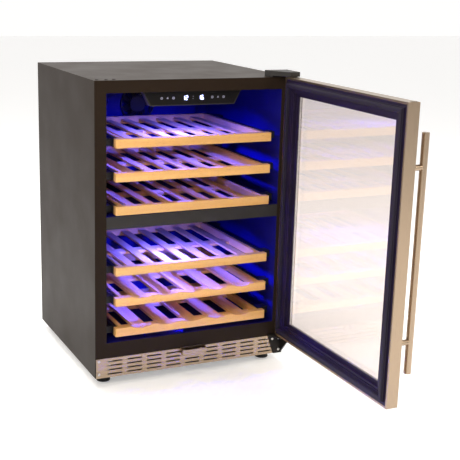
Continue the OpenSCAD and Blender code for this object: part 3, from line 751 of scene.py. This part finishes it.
@dataclass
class Screws:
    """Pan head screws with a cross recess."""

    head_r: float = 4 * MM
    head_h: float = 2.2 * MM
    shank_r: float = 2 * MM
    shank_l: float = 9 * MM
    recess_l: float = 4.4 * MM
    recess_w: float = 1.0 * MM
    recess_d: float = 1.3 * MM
    crown: float = 1.1 * MM

    def model_head(self) -> Object:
        """Models one head, its seat at the origin and its top along +Z.

        Returns:
            The head.
        """
        head = add_rod("screw_head", (0, 0, self.head_h / 2), self.head_r, self.head_h, Axis.Z, 24)
        with editing(head, Pick.EDGES):
            pick_edges(head, lambda middle, way: middle.z > self.head_h * 0.9)
            bpy.ops.mesh.bevel(offset=self.crown, segments=3, affect="EDGES")
        half = (self.recess_l / 2, self.recess_w / 2)
        for x, y in (half, half[::-1]):
            cut(head, add_block("recess", (-x, -y, self.head_h - self.recess_d), (x, y, self.head_h + MM)))
        smooth(head)
        return head

    def build(self) -> None:
        """Models the head once and copies it to each screw."""
        heads = []
        pattern = self.model_head()
        for number, (low, high) in enumerate(loose_boxes("cabinet_screws")):
            middle = (low + high) / 2
            upright = high.z - low.z > high.y - low.y
            if upright:
                matrix = Matrix.Translation((middle.x, middle.y, high.z - self.head_h))
            else:
                seat = Matrix.Translation((middle.x, low.y + self.head_h, middle.z))
                matrix = seat @ Matrix.Rotation(math.pi / 2, 4, "X")
            heads.append(copy_piece(pattern, f"head_{number}", matrix))
            centre = matrix @ Vector((0, 0, -self.shank_l / 2))
            axis = Axis.Z if upright else Axis.Y
            heads.append(add_rod(f"shank_{number}", centre, self.shank_r, self.shank_l, axis, 16))
        bpy.data.objects.remove(pattern)
        place_piece(join("screw_set", heads), "cabinet", "screw_steel", ("cabinet_screws",))


@dataclass
class ColdSide:
    """The liners, ducts, fans, filter and lights."""

    fin_count: int = 24
    fin_t: float = 1.0 * MM
    fin_bands: int = 7
    swirl: float = 0.75
    rim_t: float = 3.5 * MM
    hub_r: float = 25 * MM
    hub_t: float = 3 * MM
    ring_pitch: float = 5 * MM
    ring_w: float = 0.8 * MM
    ring_d: float = 0.6 * MM
    stub_r: float = 3 * MM
    fin_d: float = 4 * MM
    rotor_hub_r: float = 17 * MM
    rotor_bore_r: float = 3.1 * MM
    blade_count: int = 7
    blade_half_w: float = 9 * MM
    blade_half_t: float = 0.8 * MM
    blade_pitch: float = 44.0
    blade_twist: float = 22.0
    blade_bands: int = 6
    edges: dict = field(default_factory=lambda: {
        "upper_liner": 0.6 * MM, "lower_liner": 0.6 * MM, "duct_panels": 0.6 * MM,
        "carbon_filter": 1.0 * MM, "zone_lights": 1.5 * MM,
    })

    def build(self) -> None:
        """Builds the cold side's pieces."""
        ease_nodes(self.edges)
        guards = []
        for low, high in self.guard_boxes():
            guards += self.guard_parts(low, high)
        place_piece(join("fan_guard_pair", guards), "cabinet", "black_plastic", ("fan_guards",))
        for node in ("upper_fan_rotor", "lower_fan_rotor", "condenser_fan_rotor"):
            self.rotor(node)

    def guard_boxes(self) -> list[tuple[Vector, Vector]]:
        """Gives the box of each guard, without its motor stub."""
        low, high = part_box("fan_guards")
        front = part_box("duct_panels")[0].y
        size = high.x - low.x
        return [(Vector((low.x, low.y, z)), Vector((high.x, front, z + size)))
                for z in (high.z - size, low.z)]

    def guard_parts(self, low: Vector, high: Vector) -> list[Object]:
        """Models one guard: a rim, a ringed hub, a stub and curved fins.

        Args:
            low: The guard's lowest corner.
            high: Its highest corner.

        Returns:
            The guard's parts.
        """
        centre = (low + high) / 2
        radius = (high.x - low.x) / 2
        depth = high.y - low.y
        rim = add_rod("rim", centre, radius, depth, Axis.Y, 72)
        cut(rim, add_rod("bore", centre, radius - self.rim_t, depth * 2, Axis.Y, 72))
        hub_middle = (centre.x, low.y + self.hub_t / 2, centre.z)
        hub = add_rod("hub", hub_middle, self.hub_r, self.hub_t, Axis.Y, 64)
        with editing(hub):
            pick_faces(hub, lambda middle, normal: normal.y < -0.9)
            for _ in range(3):
                bpy.ops.mesh.inset(thickness=self.ring_pitch, depth=0)
                for depth_step in (-self.ring_d, self.ring_d):
                    bpy.ops.mesh.inset(thickness=self.ring_w, depth=depth_step)
        stub_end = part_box("fan_guards")[1].y
        stub_middle = (centre.x, (low.y + stub_end) / 2, centre.z)
        stub = add_rod("stub", stub_middle, self.stub_r, stub_end - low.y, Axis.Y)
        parts = [round_edges(rim, 0.8 * MM), round_edges(hub, 0.3 * MM), stub]
        fin = add_block("fin", (self.hub_r - MM, low.y, -self.fin_t / 2),
                        (radius - self.rim_t + MM, low.y + self.fin_d, self.fin_t / 2))
        with editing(fin, Pick.EDGES):
            pick_edges(fin, lambda middle, way: abs(way.x) > 0.9)
            bpy.ops.mesh.subdivide(number_cuts=self.fin_bands)
        for vertex in fin.data.vertices:
            share = (vertex.co.x - self.hub_r) / (radius - self.hub_r)
            vertex.co = Matrix.Rotation(self.swirl * share, 3, "Y") @ vertex.co
        smooth(fin)
        for number in range(self.fin_count):
            turn = Matrix.Rotation(2 * math.pi * number / self.fin_count, 4, "Y")
            matrix = Matrix.Translation((centre.x, 0, centre.z)) @ turn
            parts.append(copy_piece(fin, f"fin_{number}", matrix))
        bpy.data.objects.remove(fin)
        return parts

    def rotor(self, node: str) -> None:
        """Models a rotor with twisted blades in place of a frame node.

        Args:
            node: The rotor's node.
        """
        low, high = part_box(node)
        size = high - low
        axial = min(range(3), key=lambda axis: size[axis])
        axis = (Axis.X, Axis.Y, Axis.Z)[axial]
        centre = (low + high) / 2
        radius = max(size) / 2 - MM
        hub = add_rod("hub", (0, 0, 0), self.rotor_hub_r, size[axial] - MM, Axis.Z)
        cut(hub, add_rod("bore", (0, 0, 0), self.rotor_bore_r, 40 * MM, Axis.Z))
        parts = [round_edges(hub, 1.2 * MM)]
        blade = add_block("blade", (self.rotor_hub_r - 2 * MM, -self.blade_half_w, -self.blade_half_t),
                          (radius * 0.97, self.blade_half_w, self.blade_half_t))
        with editing(blade, Pick.EDGES):
            pick_edges(blade, lambda middle, way: abs(way.x) > 0.9)
            bpy.ops.mesh.subdivide(number_cuts=self.blade_bands)
        for vertex in blade.data.vertices:
            pitch = math.radians(self.blade_pitch - self.blade_twist * vertex.co.x / radius)
            vertex.co = Matrix.Rotation(pitch, 3, "X") @ vertex.co
        smooth(blade)
        for number in range(self.blade_count):
            turn = Matrix.Rotation(2 * math.pi * number / self.blade_count, 4, "Z")
            parts.append(copy_piece(blade, f"blade_{number}", turn))
        bpy.data.objects.remove(blade)
        piece = join(f"{node}_bladed", parts)
        piece.data.transform(Matrix.Translation(centre) @ Euler(axis.value).to_matrix().to_4x4())
        place_piece(piece, NODE_BODY[node], NODE_SLOT[node], (node,))


@dataclass
class ControlPanel:
    """The control housing, its glossy face, two lit displays and touch icons."""

    digit_h: float = 11 * MM
    digit_w: float = 6 * MM
    digit_pitch: float = 9 * MM
    stroke: float = 1.3 * MM
    relief: float = 0.3 * MM
    display_x: float = 24 * MM
    icon_x: tuple = (59 * MM, 76.5 * MM, 94 * MM)
    icon_sides: tuple = (32, 3, 32)
    icon_r: float = 3.4 * MM
    icon_hole_r: float = 2.4 * MM
    icon_stem: tuple = (1.0 * MM, 2.6 * MM)
    dot: tuple = (1.4 * MM, 1.6 * MM)
    dot_z: float = 3 * MM
    readings: tuple = ("12", "16")
    segments: dict = field(default_factory=lambda: {
        "1": "bc", "2": "abged", "6": "acdefg",
    })

    def build(self) -> None:
        """Builds the panel's pieces."""
        ease_node("control_housing", 0.6 * MM)
        ease_node("control_face", 0.3 * MM)
        low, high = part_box("control_face")
        middle = Vector((0, low.y, (low.z + high.z) / 2))
        self.digits(middle)
        self.icons(middle)

    def mark(self, x: float, z: float, width: float, height: float, front: float) -> Object:
        """Models one raised bar with pointed ends.

        Args:
            x: Its middle across the face.
            z: The height of its middle.
            width: Its width.
            height: Its height.
            front: The Y of the face that it stands on.

        Returns:
            The bar.
        """
        bar = add_block("mark", (x - width / 2, front - self.relief, z - height / 2),
                        (x + width / 2, front, z + height / 2))
        with editing(bar, Pick.EDGES):
            pick_edges(bar, lambda middle, way: abs(way.y) > 0.9)
            bpy.ops.mesh.bevel(offset=min(width, height) * 0.42, segments=1, affect="EDGES")
        return bar

    def digits(self, middle: Vector) -> None:
        """Models the two displays.

        Args:
            middle: The middle of the face's front.
        """
        bars = []
        half_h, half_w = self.digit_h / 2, self.digit_w / 2
        across, upright = (self.digit_w * 0.8, self.stroke), (self.stroke, half_h * 0.85)
        places = {"a": (0, half_h, across), "g": (0, 0, across), "d": (0, -half_h, across),
                  "b": (half_w, half_h / 2, upright), "c": (half_w, -half_h / 2, upright),
                  "f": (-half_w, half_h / 2, upright), "e": (-half_w, -half_h / 2, upright)}
        for side, reading in zip((-1, 1), self.readings):
            for number, digit in enumerate(reading):
                x = side * self.display_x + (number - 0.5) * self.digit_pitch
                for name in self.segments[digit]:
                    dx, dz, (width, height) = places[name]
                    bars.append(self.mark(x + dx, middle.z + dz, width, height, middle.y))
        place_piece(join("display_digits", bars), "cabinet", "light_panel", (), "display_lit")

    def icons(self, middle: Vector) -> None:
        """Models the touch icons on each side, and the two dots between the displays.

        Args:
            middle: The middle of the face's front.
        """
        marks = []
        for side in (-1, 1):
            for x, sides in zip(self.icon_x, self.icon_sides):
                place = (side * x, middle.y - self.relief / 2, middle.z)
                ring = add_rod("icon", place, self.icon_r, self.relief, Axis.Y, sides)
                cut(ring, add_rod("hollow", place, self.icon_hole_r, 4 * MM, Axis.Y, sides))
                marks += [ring, self.mark(side * x, middle.z, *self.icon_stem, middle.y)]
        for offset in (-self.dot_z, self.dot_z):
            marks.append(self.mark(0, middle.z + offset, *self.dot, middle.y))
        place_piece(join("touch_icons", marks), "cabinet", "light_panel", (), "icon_dim")


@dataclass
class Shelf:
    """One beech rack of separate boards, with the channels that it runs on.

    The boards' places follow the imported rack's own box.
    """

    number: int
    wide: bool
    rail_t: float = 20 * MM
    rear_t: float = 15 * MM
    strip_w: float = 12 * MM
    corner_r: float = 4 * MM
    edge: float = 1.2 * MM
    slat_w: float = 25 * MM
    slat_t: float = 6.5 * MM
    slat_pitch: float = 58 * MM
    slat_drop: float = 8.5 * MM
    wide_w: float = 40 * MM
    wide_t: float = 10 * MM
    wide_pitch: float = 79 * MM
    wide_drop: float = 3 * MM
    dish_r: float = 90 * MM
    dish_depth: float = 2.5 * MM
    bar_t: float = 8 * MM
    bar_y: float = 204 * MM
    bar_w: float = 39 * MM
    front_bar_y: float = 45 * MM
    front_bar_w: float = 18 * MM
    side_gap: float = 15 * MM
    skirt_rise: float = 2 * MM
    # board numbers, which only pick each board's grain and tone
    rack_step: int = 20
    slat_number: int = 8
    side_numbers: tuple = (14, 15)
    rear_number: int = 16
    bar_number: int = 17

    def board(self, low: tuple, high: tuple, along: int, count: int) -> Object:
        """Models one board with eased edges and its own grain.

        Args:
            low: Its lowest corner.
            high: Its highest corner.
            along: The index of the axis that it runs along.
            count: Its number in the rack.

        Returns:
            The board.
        """
        piece = round_edges(add_block(f"board_{count}", low, high), self.edge)
        lay_grain(piece, along, self.number * self.rack_step + count)
        return piece

    def trough(self, x: float, top: float, y0: float, y1: float) -> Object:
        """Gives the round shape that hollows a board over a wide slat."""
        z = top - self.wide_drop + self.dish_r - self.dish_depth
        return add_rod("trough", (x, (y0 + y1) / 2, z), self.dish_r, y1 - y0 + 4 * MM, Axis.Y, 180)

    def front_rail(self, low: Vector, high: Vector) -> Object:
        """Models the front rail: rounded front corners, scalloped over wide slats.

        Args:
            low: The rack's lowest corner.
            high: Its highest corner.

        Returns:
            The rail.
        """
        rail = add_block("front_rail", low, (high.x, low.y + self.rail_t, high.z))
        with editing(rail, Pick.EDGES):
            pick_edges(rail, lambda middle, way: abs(way.z) > 0.9 and middle.y < low.y + MM)
            bpy.ops.mesh.bevel(offset=self.corner_r, segments=4, affect="EDGES")
        if self.wide:
            for index in range(-2, 3):
                cut(rail, self.trough(index * self.wide_pitch, high.z, low.y, low.y + self.rail_t))
        round_edges(rail, self.edge)
        lay_grain(rail, 0, self.number * self.rack_step)
        return rail

    def slats(self, y0: float, y1: float, top: float) -> list[Object]:
        """Models the slats.

        Args:
            y0: Where they start.
            y1: Where they end.
            top: The rack's top.

        Returns:
            The slats.
        """
        pieces = []
        if self.wide:
            width, pitch, drop, thick, reach = self.wide_w, self.wide_pitch, self.wide_drop, self.wide_t, 2
        else:
            width, pitch, drop, thick, reach = self.slat_w, self.slat_pitch, self.slat_drop, self.slat_t, 3
        for index in range(-reach, reach + 1):
            x = index * pitch
            slat = add_block("slat", (x - width / 2, y0, top - drop - thick), (x + width / 2, y1, top - drop))
            if self.wide:
                cut(slat, self.trough(x, top, y0, y1))
            round_edges(slat, self.edge)
            lay_grain(slat, 1, self.number * self.rack_step + self.slat_number + index)
            pieces.append(slat)
        return pieces

    def build(self) -> None:
        """Builds the rack and its channels."""
        node = f"shelf_{self.number}_rack"
        low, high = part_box(node)
        top = high.z
        half = high.x - self.side_gap
        y0, y1 = low.y + self.rail_t, high.y - self.rear_t
        under = top - (self.wide_drop + self.wide_t if self.wide else self.slat_drop + self.slat_t)
        boards = [self.front_rail(low, high)]
        boards += self.slats(y0, y1, top)
        skirt = low.z + self.skirt_rise
        for side, count in zip((-1, 1), self.side_numbers):
            inner, outer = side * (half - self.strip_w), side * half
            boards.append(self.board((min(inner, outer), y0, skirt), (max(inner, outer), y1, top), 1, count))
        boards.append(self.board((-half, y1, skirt), (half, high.y, top), 0, self.rear_number))
        bars = [(self.bar_y, self.bar_w)] + ([(self.front_bar_y, self.front_bar_w)] if self.wide else [])
        for count, (start, width) in enumerate(bars):
            boards.append(self.board((-half + MM, low.y + start, under - self.bar_t),
                                     (half - MM, low.y + start + width, under), 0, self.bar_number + count))
        place_piece(join(f"shelf_{self.number}_boards", boards), NODE_BODY[node], "beech", (node,))
        ease_node(f"shelf_{self.number}_runners", 0.3 * MM)


@dataclass
class Slides:
    """The fixed channels and the balls that run in their upper and lower races."""

    ball_r: float = 0.9 * MM
    ball_pitch: float = 22 * MM
    balls_a_row: int = 9
    race_inset: float = 6 * MM
    first_ball: float = 14 * MM

    def build(self) -> None:
        """Builds the channels and places the balls along them."""
        ease_node("shelf_rails", 0.3 * MM)
        deselect_all()
        bpy.ops.mesh.primitive_ico_sphere_add(subdivisions=2, radius=self.ball_r, location=(0, 0, 0))
        ball = bpy.context.active_object
        with editing(ball, Pick.POINTS):
            bpy.ops.mesh.select_all(action="SELECT")
            bpy.ops.mesh.vertices_smooth(factor=0.2)
        smooth(ball)
        balls = []
        for number in SHELVES:
            low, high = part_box(f"shelf_{number}_runners")
            for x in (low.x + self.race_inset, high.x - self.race_inset):
                for z in (low.z - MM, high.z + MM):
                    for index in range(self.balls_a_row):
                        place = (x, low.y + self.first_ball + index * self.ball_pitch, z)
                        balls.append(copy_piece(ball, "ball", Matrix.Translation(place)))
        bpy.data.objects.remove(ball)
        place_piece(join("slide_balls", balls), "cabinet", "pin_steel")


@dataclass
class Door:
    """The door: folded steel members with mitred corners, inner frame, gasket, glass, handle and lock."""

    sheet_t: float = 1.5 * MM
    lip_w: float = 6 * MM
    stile_w: float = 52 * MM
    bar_w: float = 44 * MM
    seam: float = 0.12 * MM
    hole_r: float = 7.2 * MM
    key_l: float = 9 * MM
    key_w: float = 1.8 * MM
    cap_groove: float = 0.6 * MM
    collar_t: float = 1.6 * MM
    fold_round: float = 0.5 * MM
    cap_inset: float = 1.8 * MM
    cap_round: float = 0.7 * MM
    post_round: float = 0.3 * MM
    collar_lip: float = 1.5 * MM
    collar_round: float = 0.5 * MM
    lock_head_r: float = 11 * MM
    lock_hole_r: float = 8.3 * MM
    lock_round: float = 0.4 * MM
    key_d: float = 1.2 * MM
    tongue_t: float = 3 * MM
    tongue_gap: float = 4 * MM
    edges: dict = field(default_factory=lambda: {
        "door_inner_frame": 0.7 * MM, "door_gasket": 0.9 * MM, "outer_glass": 0.4 * MM,
        "inner_glass": 0.4 * MM, "hinge_bushes": 0.4 * MM, "door_plugs": 0.4 * MM,
    })

    def build(self) -> None:
        """Builds the door's pieces."""
        self.casing()
        ease_nodes(self.edges)
        self.handle()
        self.lock()

    def member(self, name: str, length: float, width: float, depth: float, mitre: float) -> Object:
        """Models one folded member lying along X, its face at z = 0 and its folded edge at y = 0.

        Args:
            name: The member's name.
            length: Its length at the door's edge.
            width: The width of its face.
            depth: The depth of its folded edge.
            mitre: How far its ends step in for each unit of width.

        Returns:
            The member.
        """
        deselect_all()
        bpy.ops.mesh.primitive_plane_add(size=1.0, location=(length / 2, width / 2, 0))
        piece = bpy.context.active_object
        piece.name = name
        piece.scale = (length, width, 1)
        settle(piece)
        for step, place in (((0, 0, depth), lambda middle: middle.y < MM and middle.z < MM),
                            ((0, self.lip_w, 0), lambda middle: middle.y < MM and middle.z > depth - MM)):
            with editing(piece, Pick.EDGES):
                pick_edges(piece, lambda middle, way: abs(way.x) > 0.9 and place(middle))
                bpy.ops.mesh.extrude_region_move(TRANSFORM_OT_translate={"value": step})
        recalculate_normals(piece)
        face = min(piece.data.polygons, key=lambda polygon: abs(polygon.center.z))
        apply_modifier(piece, "SOLIDIFY", thickness=self.sheet_t, offset=1.0 if face.normal.z > 0 else -1.0,
                       use_even_offset=True)
        for vertex in piece.data.vertices:
            start = vertex.co.x < length / 2
            inset = max(vertex.co.y, 0.0) * mitre + self.seam
            vertex.co.x = inset if start else length - inset
        round_edges(piece, self.fold_round)
        return piece

    def casing(self) -> None:
        """Builds the four members of the steel casing, with holes for bushes, plugs and lock."""
        low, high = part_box("door_frame")
        depth = high.x - low.x
        tall, broad = high.z - low.z, high.y - low.y
        slope = self.bar_w / self.stile_w
        into, up, along = Vector((-1, 0, 0)), Vector((0, 0, 1)), Vector((0, 1, 0))
        spans = [
            ("stile_free", tall, self.stile_w, slope, (up, along, into), Vector((high.x, low.y, low.z))),
            ("stile_hinge", tall, self.stile_w, slope, (up, -along, into), Vector((high.x, high.y, low.z))),
            ("bar_bottom", broad, self.bar_w, 1 / slope, (along, up, into), Vector((high.x, low.y, low.z))),
            ("bar_top", broad, self.bar_w, 1 / slope, (along, -up, into), Vector((high.x, low.y, high.z))),
        ]
        members = []
        for number, (name, length, width, mitre, axes, origin) in enumerate(spans):
            piece = self.member(name, length, width, depth, mitre)
            lay_grain(piece, 0, number)
            turn = Matrix(axes).transposed().to_4x4()
            piece.data.transform(Matrix.Translation(origin) @ turn)
            recalculate_normals(piece)
            members.append(piece)
        casing = join("door_casing", members)
        for bush in loose_boxes("hinge_bushes") + loose_boxes("door_plugs"):
            middle = (bush[0] + bush[1]) / 2
            cut(casing, add_rod("hole", middle, self.hole_r, 60 * MM, Axis.Z))
        lock_low, lock_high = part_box("lock_barrel")
        face_mid = Vector((high.x, (low.y + high.y) / 2, lock_high.z - self.lock_head_r))
        cut(casing, add_rod("lock_hole", face_mid, self.lock_hole_r, 20 * MM, Axis.X))
        cut(casing, add_block("tongue_slot", (lock_low.x - MM, lock_low.y - self.tongue_gap, low.z - MM),
                              (lock_low.x + self.tongue_t + MM, lock_high.y + self.tongue_gap, face_mid.z)))
        smooth(casing)
        place_piece(casing, "door", "stainless", ("door_frame",), "stainless_sheet")

    def handle(self) -> None:
        """Builds the handle bar with capped ends, and its posts with collars."""
        low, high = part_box("handle_bar")
        centre, length = (low + high) / 2, high.z - low.z
        radius = (high.y - low.y) / 2
        bar = add_rod("handle_tube", centre, radius, length, Axis.Z, 64)
        with editing(bar):
            pick_faces(bar, lambda middle, normal: abs(normal.z) > 0.9)
            bpy.ops.mesh.inset(thickness=self.cap_inset, depth=0, use_individual=True)
            bpy.ops.mesh.inset(thickness=self.cap_groove, depth=-self.cap_groove, use_individual=True)
        round_edges(bar, self.cap_round, 3)
        place_piece(bar, "door", "stainless", ("handle_bar",), "stainless_upright")
        parts = [round_edges(bare_copy("handle_posts", "posts"), self.post_round)]
        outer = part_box("door_frame")[1].x
        for post_low, post_high in loose_boxes("handle_posts"):
            middle = (post_low + post_high) / 2
            collar_r = (post_high.z - post_low.z) / 2 + self.collar_lip
            place = (outer + self.collar_t / 2, middle.y, middle.z)
            collar = add_rod("collar", place, collar_r, self.collar_t, Axis.X)
            parts.append(round_edges(collar, self.collar_round))
        posts = join("handle_post_pair", parts)
        place_piece(posts, "door", "stainless", ("handle_posts",), "stainless_upright")

    def lock(self) -> None:
        """Builds the lock's barrel with its key slot."""
        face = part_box("lock_barrel")[1].x
        barrel = bare_copy("lock_barrel", "lock_barrel_keyed")
        pivot = next(joint for joint in frame["joints"] if joint["name"] == "lock_turn")["pos_m"]
        slot_low = (face - self.key_d, pivot[1] - self.key_w / 2, pivot[2] - self.key_l / 2)
        slot_high = (face + 2 * MM, pivot[1] + self.key_w / 2, pivot[2] + self.key_l / 2)
        cut(barrel, add_block("key_slot", slot_low, slot_high))
        round_edges(barrel, self.lock_round)
        place_piece(barrel, "lock", "lock_chrome", ("lock_barrel",))


@dataclass(frozen=True)
class Lamp:
    """A soft square light that faces a target, and shows in shiny surfaces only if it is glossy."""

    name: str
    place: tuple
    target: tuple
    size: float
    power: float
    color: tuple
    glossy: bool = False
    spread: float = 180.0

    def hang(self) -> None:
        """Adds the light to the scene."""
        data = bpy.data.lights.new(self.name, "AREA")
        data.size = self.size
        data.energy = self.power
        data.color = self.color
        data.spread = math.radians(self.spread)
        light = bpy.data.objects.new(self.name, data)
        bpy.context.scene.collection.objects.link(light)
        light.location = self.place
        way = Vector(self.target) - Vector(self.place)
        light.rotation_euler = way.to_track_quat("-Z", "Y").to_euler()
        light.visible_glossy = self.glossy
        light.visible_camera = False


ROOM_LAMPS = (
    Lamp("key", (-2.6, -3.0, 3.2), (0, 0, 0.4), 2.4, 115.0, (1.0, 0.93, 0.82), True),
    Lamp("fill", (3.0, -2.6, 2.0), (0, 0, 0.4), 1.2, 58.0, (1.0, 0.9, 0.78), True),
    Lamp("overhead", (0, 0.4, 3.2), (0, 0, 0.5), 2.0, 90.0, (1, 1, 1)),
)


@dataclass
class Studio:
    """The pale floor, the soft lights, the cooler's own light and the camera."""

    lens: float = 79.1
    sensor_w: float = 36.0
    place: tuple = (-1.1439, -2.8219, 1.1425)
    azimuth: float = -25.79
    elevation: float = 14.5
    roll: float = 1.63
    shift: tuple = (0.0174, 0.013)
    floor_size: float = 30.0
    floor_drop: float = 0.5 * MM
    room_color: tuple = (1.0, 0.99, 0.975, 1.0)
    front_level: float = 0.25
    back_level: float = 1.02
    front_y: float = -0.4
    back_y: float = 0.2
    zone_color: tuple = (0.026, 0.036, 1.0)
    zone_x: float = -0.03
    zone_size: float = 0.05
    zone_power: float = 10.5
    zone_spread: float = 150.0
    zone_aim: tuple = (0.0, 0.04, -0.3)

    def build(self) -> None:
        """Sets up the studio."""
        self.floor()
        self.world()
        for lamp in ROOM_LAMPS:
            lamp.hang()
        self.inside()
        self.camera()
        bpy.context.scene.view_settings.view_transform = "Standard"

    def floor(self) -> None:
        """Lays the floor."""
        deselect_all()
        bpy.ops.mesh.primitive_plane_add(size=self.floor_size, location=(0, 0, -self.floor_drop))
        floor = bpy.context.active_object
        floor.name = "floor"
        settle(floor)
        floor.data.materials.append(material("floor_pale"))

    def world(self) -> None:
        """Lights the room: bright behind the cooler, towards +Y, and dimmer in front of it."""
        world = bpy.data.worlds.new("room")
        world.use_nodes = True
        tree = world.node_tree
        background = tree.nodes["Background"]
        background.inputs["Color"].default_value = self.room_color
        direction = tree.nodes.new("ShaderNodeSeparateXYZ")
        tree.links.new(tree.nodes.new("ShaderNodeTexCoord").outputs["Generated"], direction.inputs[0])
        level = tree.nodes.new("ShaderNodeMapRange")
        tree.links.new(direction.outputs["Y"], level.inputs["Value"])
        for socket, value in (("From Min", self.front_y), ("From Max", self.back_y),
                              ("To Min", self.front_level), ("To Max", self.back_level)):
            level.inputs[socket].default_value = value
        tree.links.new(level.outputs["Result"], background.inputs["Strength"])
        bpy.context.scene.world = world

    def inside(self) -> None:
        """Lights the zones in blue: one small lamp under each light, so the racks shade what is below."""
        for number, (low, high) in enumerate(loose_boxes("zone_lights")):
            aim = Vector((self.zone_x, (low.y + high.y) / 2, low.z))
            place = aim - Vector((0, 0, 3 * MM))
            Lamp(f"zone_{number}", tuple(place), tuple(aim + Vector(self.zone_aim)), self.zone_size,
                 self.zone_power, self.zone_color, spread=self.zone_spread).hang()

    def camera(self) -> None:
        """Places the camera."""
        azimuth, elevation, roll = map(math.radians, (self.azimuth, self.elevation, self.roll))
        level = math.cos(elevation)
        back = Vector((math.sin(azimuth) * level, -math.cos(azimuth) * level, math.sin(elevation)))
        right = Vector((0, 0, 1)).cross(back).normalized()
        upward = back.cross(right)
        turned = right * math.cos(roll) + upward * math.sin(roll)
        upright = upward * math.cos(roll) - right * math.sin(roll)
        data = bpy.data.cameras.new("camera")
        data.lens = self.lens
        data.sensor_width = self.sensor_w
        data.shift_x, data.shift_y = self.shift
        camera = bpy.data.objects.new("camera", data)
        bpy.context.scene.collection.objects.link(camera)
        turn = Matrix((turned, upright, back)).transposed().to_4x4()
        camera.matrix_world = Matrix.Translation(self.place) @ turn
        bpy.context.scene.camera = camera


def dress_frame_nodes() -> None:
    """Gives every frame node the procedural finish of its slot."""
    for name, node in frame["nodes"].items():
        node.data.materials.clear()
        node.data.materials.append(material(NODE_SLOT[name]))


def main() -> None:
    """Builds every sub-assembly in order."""
    dress_frame_nodes()
    Casing().build()
    Screws().build()
    ColdSide().build()
    ControlPanel().build()
    for number in SHELVES:
        Shelf(number, number in WIDE_SHELVES).build()
    Slides().build()
    Door().build()
    Studio().build()
    deselect_all()


if __name__ == "__main__":
    main()
